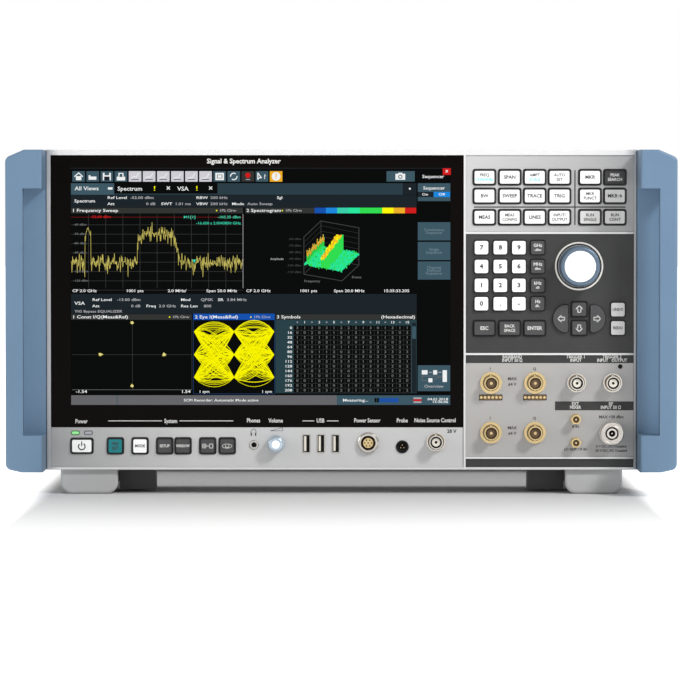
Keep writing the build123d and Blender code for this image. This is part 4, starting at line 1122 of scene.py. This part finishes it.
KNOBS = {
    "main_knob": (blue_anodised, 14.6, 13.6, 10.9, 3.0, 44),
    "volume_knob": (pale_anodised, 5.9, 5.0, 2.9, 2.0, 24),
}
for node, (skin, base, face, lens, shaft, ribs) in KNOBS.items():
    low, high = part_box(node)
    middle = (low + high) / 2
    back = low.y + (19.0 if node == "main_knob" else 9.0) * MM
    base, face, lens, shaft = base * MM, face * MM, lens * MM, shaft * MM
    shape = bmesh.new()
    outline = [
        (0, low.y + 0.9 * MM), (lens, low.y + 0.9 * MM), (lens, low.y + 0.1 * MM),
        (lens + 0.25 * MM, low.y), (face - 0.9 * MM, low.y), (face - 0.3 * MM, low.y + 0.3 * MM),
        (face, low.y + 0.9 * MM), (base - 0.3 * MM, back - 1.6 * MM), (base, back - 1.2 * MM),
        (base, back), (shaft, back), (shaft, high.y), (0, high.y),
    ]
    add_turned(shape, middle.x, middle.z, outline, 72)
    for rib in range(ribs):
        turn = 2 * math.pi * rib / ribs
        radius = (base + face) / 2 - 0.10 * MM
        place = (middle.x + radius * math.cos(turn), middle.z + radius * math.sin(turn))
        add_rod(shape, place[0], place[1], (0.30 * MM, 0.45 * MM), (low.y + 1.6 * MM, back - 1.8 * MM), 6)
    finish_piece(shape, f"{node}_skirt", skin, node, True, (node,))
    shape = bmesh.new()
    dome = [(0, low.y + 0.1 * MM), (lens * 0.6, low.y + 0.22 * MM), (lens * 0.9, low.y + 0.4 * MM),
            (lens * 0.99, low.y + 0.6 * MM), (lens * 0.99, low.y + 0.95 * MM), (0, low.y + 0.95 * MM)]
    add_turned(shape, middle.x, middle.z, dome, 48)
    finish_piece(shape, f"{node}_lens", lens_white_painted_glow, node, True)
    if node == "main_knob":
        shape = bmesh.new()
        inner, outer = face - 0.2 * MM, base + 0.02 * MM
        rim = [
            (inner, back - 2.0 * MM), (base - 0.2 * MM, back - 1.9 * MM), (outer, back - 1.6 * MM),
            (outer, back), (inner, back), (inner, back - 2.0 * MM),
        ]
        add_turned(shape, middle.x, middle.z, rim, 72)
        finish_piece(shape, "main_knob_edge", bright_edge, node, True)

# Connectors
# Gold and nickel bayonet jacks with their lugs and insulators, two gold SMA
# jacks, the large RF input, three round sockets and the data ports. Black discs,
# rings and plates deep in their bores, holes and openings, and a dark ring at the
# root of each bayonet jack barrel, are painted shade.
gold = Finish("gold_plate", (0.65, 0.50, 0.25), Metallic=1.0)
gold.mottle((0.60, 0.45, 0.22), (0.70, 0.54, 0.28), 90.0)
gold.rough(0.26, 0.12, 150.0)
nickel = Finish("nickel_plate", (0.57, 0.54, 0.50), Metallic=1.0)
nickel.mottle((0.52, 0.49, 0.45), (0.62, 0.59, 0.55), 90.0)
nickel.rough(0.22, 0.12, 150.0)
cream = Finish("cream_insulator", (0.74, 0.70, 0.62))
cream.mottle((0.70, 0.66, 0.57), (0.78, 0.74, 0.66), 120.0)
cream.rough(0.45, 0.1, 200.0)
brown = Finish("brown_insulator", (0.11, 0.065, 0.028), Specular_IOR_Level=0.4)
brown.mottle((0.09, 0.052, 0.022), (0.14, 0.085, 0.040), 160.0)
brown.rough(0.4, 0.1, 200.0)
# Black: painted shade deep in bores, holes, ports and screw recesses, and also the trigger lamp and the
# probe socket's shell
black_and_painted_shade = Finish("socket_black_and_painted_shade", (0.006, 0.006, 0.006), Specular_IOR_Level=0.15)
black_and_painted_shade.mottle((0.005, 0.005, 0.005), (0.010, 0.010, 0.010), 160.0)
black_and_painted_shade.rough(0.6, 0.1, 200.0)
# painted shade: a dark ring in the crease where each bayonet barrel meets its flange
root_shade = Finish("jack_root_shade", (0.20, 0.16, 0.10), Metallic=0.6)
root_shade.mottle((0.17, 0.13, 0.08), (0.25, 0.20, 0.13), 120.0)
root_shade.rough(0.4, 0.1, 200.0)
dress(gold, "bnc_gold", "sma_jacks")
dress(nickel, "bnc_nickel", "data_ports")


def add_ring(shape, x, z, inner, outer, y, sides=40):
    """A flat washer between two radii."""
    outline = [(inner, y[0]), (outer, y[0]), (outer, y[1]), (inner, y[1]), (inner, y[0])]
    add_turned(shape, x, z, outline, sides)


for node, lining in (("bnc_gold", brown), ("bnc_nickel", cream)):
    liners, floors_and_shade, lugs, plugs_and_hole_shade, root_shade_rings = (bmesh.new() for _ in range(5))
    for low, high in islands(node):
        middle = (low + high) / 2
        rear = middle.y > 0
        tip = high.y if rear else low.y
        inward = -1 if rear else 1
        core = sorted((tip + inward * 1.9 * MM, tip + inward * 7.0 * MM))
        add_ring(liners, middle.x, middle.z, 1.0 * MM, 2.9 * MM, core)
        floor = sorted((tip + inward * 3.2 * MM, tip + inward * 8.2 * MM))
        add_ring(floors_and_shade, middle.x, middle.z, 2.95 * MM, 4.0 * MM, floor)
        plug = sorted((tip + inward * 1.95 * MM, tip + inward * 2.2 * MM))
        add_rod(plugs_and_hole_shade, middle.x, middle.z, (1.02 * MM, 1.02 * MM), plug, 24)
        collar = sorted((tip + inward * 8.1 * MM, tip + inward * 8.7 * MM))
        add_ring(root_shade_rings, middle.x, middle.z, 4.85 * MM, 5.7 * MM, collar)
        for up in (-1, 1):
            place = Matrix.Translation((middle.x, tip + inward * 5.2 * MM, middle.z + up * 5.1 * MM))
            size = {"radius1": 1.0 * MM, "radius2": 0.9 * MM, "depth": 1.4 * MM, "matrix": place}
            bmesh.ops.create_cone(lugs, cap_ends=True, segments=20, **size)
    plate, slot = (gold, "gold_plate") if node == "bnc_gold" else (nickel, "nickel_plate")
    cream_lined = lining is cream
    # painted shade: the nickel jacks get black bore floors and a black contact hole
    finish_piece(liners, f"{node}_insulators", lining, "case", True)
    finish_piece(floors_and_shade, f"{node}_floors", black_and_painted_shade if cream_lined else brown, "case")
    finish_piece(lugs, f"{node}_lugs", plate, "case", True)
    finish_piece(plugs_and_hole_shade, f"{node}_contacts", black_and_painted_shade if cream_lined else gold, "case")
    finish_piece(root_shade_rings, f"{node}_root_shades", root_shade, "case")

sma_liners = bmesh.new()
for low, high in islands("sma_jacks"):
    middle = (low + high) / 2
    add_ring(sma_liners, middle.x, middle.z, 0.70 * MM, 2.25 * MM, (low.y + 2.2 * MM, low.y + 3.4 * MM))
finish_piece(sma_liners, "sma_insulators", brown, "case")

low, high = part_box("rf_input")
middle = (low + high) / 2
tip = low.y
shape = bmesh.new()
RF_OUTLINE = (
    (4.3, 8.4), (4.3, 0.6), (4.9, 0.0), (5.6, 0.0), (5.8, 0.5), (6.6, 0.5), (6.8, 0.0), (7.5, 0.0),
    (7.85, 0.4), (7.85, 10.0), (8.3, 10.0), (8.3, 12.5), (7.85, 12.5), (7.85, 28.5), (0, 28.5),
)
add_turned(shape, middle.x, middle.z, [(radius * MM, tip + deep * MM) for radius, deep in RF_OUTLINE], 64)
add_ring(shape, middle.x, middle.z, 2.3 * MM, 3.5 * MM, (tip + 1.4 * MM, tip + 8.6 * MM))
add_rod(shape, middle.x, middle.z, (0.5 * MM, 0.9 * MM), (tip + 2.6 * MM, tip + 8.6 * MM), 24)
finish_piece(shape, "rf_input_shell", nickel, "case", True, ("rf_input",))
# painted shade: a black disc at the bottom of the RF input's bore
shape = bmesh.new()
add_rod(shape, middle.x, middle.z, (4.25 * MM, 4.25 * MM), (tip + 8.2 * MM, tip + 8.7 * MM), 40)
finish_piece(shape, "rf_input_floor_shade", black_and_painted_shade, "case")

phones, sensor, probe = islands("round_sockets")
shells, inserts, black_and_painted_shades = bmesh.new(), bmesh.new(), bmesh.new()
middle = (sensor[0] + sensor[1]) / 2
tip, end = sensor[0].y, sensor[1].y
add_turned(shells, middle.x, middle.z, [
    (4.9 * MM, end), (4.9 * MM, tip + 0.5 * MM), (5.3 * MM, tip), (6.3 * MM, tip),
    (6.6 * MM, tip + 0.8 * MM), (7.2 * MM, tip + 1.2 * MM), (7.2 * MM, end), (4.9 * MM, end),
], 56)
# painted shade: black fills the sockets' insides and pin holes
add_rod(black_and_painted_shades, middle.x, middle.z, (4.88 * MM, 4.88 * MM), (tip + 4.0 * MM, end), 40)
add_rod(inserts, middle.x, middle.z, (3.5 * MM, 3.6 * MM), (tip + 1.2 * MM, tip + 4.6 * MM), 40)
for turn in range(7):
    angle = math.radians(60 * turn)
    reach = (2.3 if turn < 6 else 0) * MM
    spot_x, spot_z = middle.x + reach * math.cos(angle), middle.z + reach * math.sin(angle)
    add_rod(black_and_painted_shades, spot_x, spot_z, (0.5 * MM, 0.5 * MM), (tip + 1.12 * MM, tip + 1.3 * MM), 14)
middle = (probe[0] + probe[1]) / 2
tip, end = probe[0].y, probe[1].y
add_turned(black_and_painted_shades, middle.x, middle.z, [
    (2.9 * MM, end), (2.9 * MM, tip + 0.4 * MM), (3.4 * MM, tip), (4.2 * MM, tip),
    (4.4 * MM, tip + 0.3 * MM), (4.4 * MM, end), (2.9 * MM, end),
], 48)
add_rod(black_and_painted_shades, middle.x, middle.z, (2.88 * MM, 2.88 * MM), (tip + 3.0 * MM, tip + 3.6 * MM), 32)
for turn in range(3):
    angle = math.radians(90 + 120 * turn)
    spot_x, spot_z = middle.x + 1.3 * MM * math.cos(angle), middle.z + 1.3 * MM * math.sin(angle)
    add_rod(inserts, spot_x, spot_z, (0.3 * MM, 0.35 * MM), (tip + 1.4 * MM, tip + 3.2 * MM), 14)
middle = (phones[0] + phones[1]) / 2
tip, end = phones[0].y, phones[1].y
add_turned(shells, middle.x, middle.z, [
    (1.75 * MM, end), (1.75 * MM, tip + 0.3 * MM), (2.1 * MM, tip), (2.8 * MM, tip),
    (3.1 * MM, tip + 0.4 * MM), (3.1 * MM, end), (1.75 * MM, end),
], 40)
add_rod(black_and_painted_shades, middle.x, middle.z, (1.74 * MM, 1.74 * MM), (tip + 2.4 * MM, tip + 3.0 * MM), 24)
finish_piece(shells, "socket_shells", nickel, "case", True, ("round_sockets",))
finish_piece(black_and_painted_shades, "socket_black_and_painted_shades", black_and_painted_shade, "case", True, ("round_sockets",))
finish_piece(inserts, "socket_inserts", gold, "case", True, ("round_sockets",))

# painted shade: a black plate at the back of each port opening
port_floor_shades, tongues = bmesh.new(), bmesh.new()
for low, high in islands("data_ports"):
    middle = (low + high) / 2
    wide, tall = high.x - low.x, high.z - low.z
    if middle.y > 0:
        inside = (wide - 2.1 * MM, tall - 2.1 * MM)
        add_slab(port_floor_shades, middle.x, middle.z, inside, (high.y - 12.4 * MM, high.y - 11.6 * MM))
        bar = (inside[0] * 0.8, 1.6 * MM)
        deep = (high.y - 11.9 * MM, high.y - 3.0 * MM)
        add_slab(tongues, middle.x, middle.z + inside[1] * 0.18, bar, deep, 0.3 * MM)
        continue
    if wide > tall:
        continue
    inside = (wide - 0.82 * MM, tall - 0.82 * MM)
    add_slab(port_floor_shades, middle.x, middle.z, inside, (low.y + 1.9 * MM, low.y + 2.9 * MM), 0.2 * MM)
    bar, deep = (1.5 * MM, 10.4 * MM), (low.y + 0.9 * MM, low.y + 2.0 * MM)
    add_slab(tongues, middle.x - 0.85 * MM, middle.z, bar, deep, 0.2 * MM)
finish_piece(port_floor_shades, "port_floors_and_shade", black_and_painted_shade, "case")
finish_piece(tongues, "port_tongues", cream, "case")

# Panel inserts
# Two gold contact strips with six pads each, the two oval status lights above
# the power key, and the small lamp by the second trigger jack.
green_light = Finish("green_light", (0.25, 0.62, 0.25), Roughness=0.3)
green_light.mottle((0.22, 0.58, 0.22), (0.32, 0.70, 0.32), 200.0)
green_light.constant("Emission Color", (0.20, 0.75, 0.22, 1))
green_light.constant("Emission Strength", 0.25)
green_rim = Finish("green_rim", (0.05, 0.30, 0.05), Roughness=0.4)
green_rim.mottle((0.04, 0.26, 0.04), (0.07, 0.34, 0.07), 200.0)
grey_light = Finish("grey_light", (0.36, 0.36, 0.40), Roughness=0.3)
grey_light.mottle((0.33, 0.33, 0.37), (0.40, 0.40, 0.44), 200.0)
grey_rim = Finish("grey_rim", (0.14, 0.13, 0.17), Roughness=0.4)
grey_rim.mottle((0.12, 0.11, 0.15), (0.16, 0.15, 0.19), 200.0)
strips = sorted(islands("panel_inserts"), key=lambda pair: pair[0].x)
lights, contacts = strips[:2], strips[2:]
LIGHTS = (("run", lights[0], green_rim, green_light), ("standby", lights[1], grey_rim, grey_light))
for name, (low, high), rim, lamp in LIGHTS:
    middle = (low + high) / 2
    size = (high.x - low.x, high.z - low.z)
    shape = bmesh.new()
    add_slab(shape, middle.x, middle.z, size, (low.y + 0.1 * MM, high.y), 1.25 * MM, 6, 0.05 * MM)
    finish_piece(shape, f"light_{name}_rim", rim, "case", False, ("panel_inserts",))
    shape = bmesh.new()
    inner = (size[0] - 1.2 * MM, size[1] - 1.1 * MM)
    add_slab(shape, middle.x, middle.z, inner, (low.y, low.y + 0.2 * MM), 0.75 * MM, 6)
    finish_piece(shape, f"light_{name}", lamp, "case", False, ("panel_inserts",))
bases, pads = bmesh.new(), bmesh.new()
for low, high in contacts:
    middle = (low + high) / 2
    size = (high.x - low.x, high.z - low.z)
    add_slab(bases, middle.x, middle.z, size, (low.y + 0.2 * MM, high.y), 1.6 * MM, 5)
    for place in range(6):
        x = low.x + size[0] * (place + 0.5) / 6
        add_rod(pads, x, middle.z, (0.95 * MM, 1.15 * MM), (low.y, low.y + 0.3 * MM), 20)
finish_piece(bases, "contact_strips", brown, "case", False, ("panel_inserts",))
finish_piece(pads, "contact_pads", gold, "case", False, ("panel_inserts",))
shape = bmesh.new()
add_rod(shape, 0.1941, 0.0890, (1.3 * MM, 1.6 * MM), (PANEL_FACE - 0.4 * MM, PANEL_FACE), 28)
finish_piece(shape, "trigger_lamp", black_and_painted_shade, "case", True)

# Feet, legs and bumpers
# Moulded pale feet whose inner ends are coloured dark as painted shade under the
# body, folding legs behind them coloured dark as the same painted shade, and
# grey rubbery corner bumpers that keep the rear sockets off the wall.
# painted shade: the inner ends of the feet, under the body, are coloured dark
FOOT_SHADE_EDGE = 0.1559
foot_plastic_and_shade = Finish("foot_plastic_and_shade", (0.48, 0.48, 0.48))
foot_tone = foot_plastic_and_shade.noise(50.0) * 0.06 + 0.37
pale = foot_plastic_and_shade.node("CombineColor", Red=foot_tone, Green=foot_tone, Blue=foot_tone)
foot_shade_mix = {"data_type": "RGBA"}
beyond_foot_shade = foot_plastic_and_shade.aside() > FOOT_SHADE_EDGE
foot_colour_and_shade = foot_plastic_and_shade.node("Mix", foot_shade_mix, 2, i0=beyond_foot_shade, i6=(0.05, 0.05, 0.05, 1), i7=pale)
foot_plastic_and_shade.vary("Base Color", foot_colour_and_shade)
foot_plastic_and_shade.rough(0.5, 0.14, 90.0)
foot_plastic_and_shade.grain(1500.0, 0.0002, 0.4)
dress(foot_plastic_and_shade, "front_feet")
# painted shade: the folding legs are coloured dark for the shade under the body
leg_plastic_painted_shade = Finish("leg_plastic_painted_shade", (0.045, 0.046, 0.048))
leg_plastic_painted_shade.mottle((0.040, 0.041, 0.043), (0.060, 0.061, 0.063), 50.0)
leg_plastic_painted_shade.rough(0.5, 0.14, 90.0)
leg_plastic_painted_shade.grain(1500.0, 0.0002, 0.4)
dress(leg_plastic_painted_shade, "tilt_leg_left", "tilt_leg_right")
bumper_rubber = Finish("bumper_rubber", (0.20, 0.205, 0.21), Specular_IOR_Level=0.3)
bumper_rubber.mottle((0.18, 0.185, 0.19), (0.23, 0.235, 0.24), 40.0)
bumper_rubber.rough(0.62, 0.14, 80.0)
bumper_rubber.grain(1200.0, 0.0003, 0.5)
dress(bumper_rubber, "rear_bumpers")

# Rear
# Black fans behind the slotted grilles, the mains inlet with bright pins, the
# power rocker, and thin black hexagons on the screws as painted shade of their
# key recesses.
black_plastic = Finish("black_plastic", (0.018, 0.018, 0.019), Specular_IOR_Level=0.4)
black_plastic.mottle((0.015, 0.015, 0.016), (0.026, 0.026, 0.027), 60.0)
black_plastic.rough(0.45, 0.14, 110.0)
black_plastic.grain(1800.0, 0.0002, 0.4)
dress(black_plastic, "fan_frames", "fan_rotor_outer", "fan_rotor_inner", "mains_inlet", "power_rocker")
low, high = min(islands("mains_inlet"), key=lambda pair: pair[0].x)
pins = bmesh.new()
for across, up in ((-7, -2.5), (0, 1.5), (7, -2.5)):
    x, z = (low.x + high.x) / 2 + across * MM, (low.z + high.z) / 2 + up * MM
    add_slab(pins, x, z, (2.1 * MM, 4.1 * MM), (high.y - 21.0 * MM, high.y - 5.95 * MM), 0.3 * MM)
finish_piece(pins, "inlet_pins", nickel, "case")

# painted shade: thin black hexagons stand for the screws' key recesses
recess_shades = bmesh.new()
for low, high in islands("screws"):
    middle = (low + high) / 2
    if high.y - low.y > high.x - low.x:
        deep = (high.y - 0.02 * MM, high.y + 0.03 * MM)
        add_rod(recess_shades, middle.x, middle.z, (1.3 * MM, 1.3 * MM), deep, 6)
        continue
    outer = low.x if middle.x < 0 else high.x
    turn = Matrix.Rotation(math.pi / 2, 4, "Y")
    spot_at = Matrix.Translation((outer, middle.y, middle.z)) @ turn
    size = {"radius1": 1.6 * MM, "radius2": 1.6 * MM, "depth": 0.06 * MM, "matrix": spot_at}
    bmesh.ops.create_cone(recess_shades, cap_ends=True, segments=6, **size)
finish_piece(recess_shades, "screw_recess_shades", black_and_painted_shade, "case")
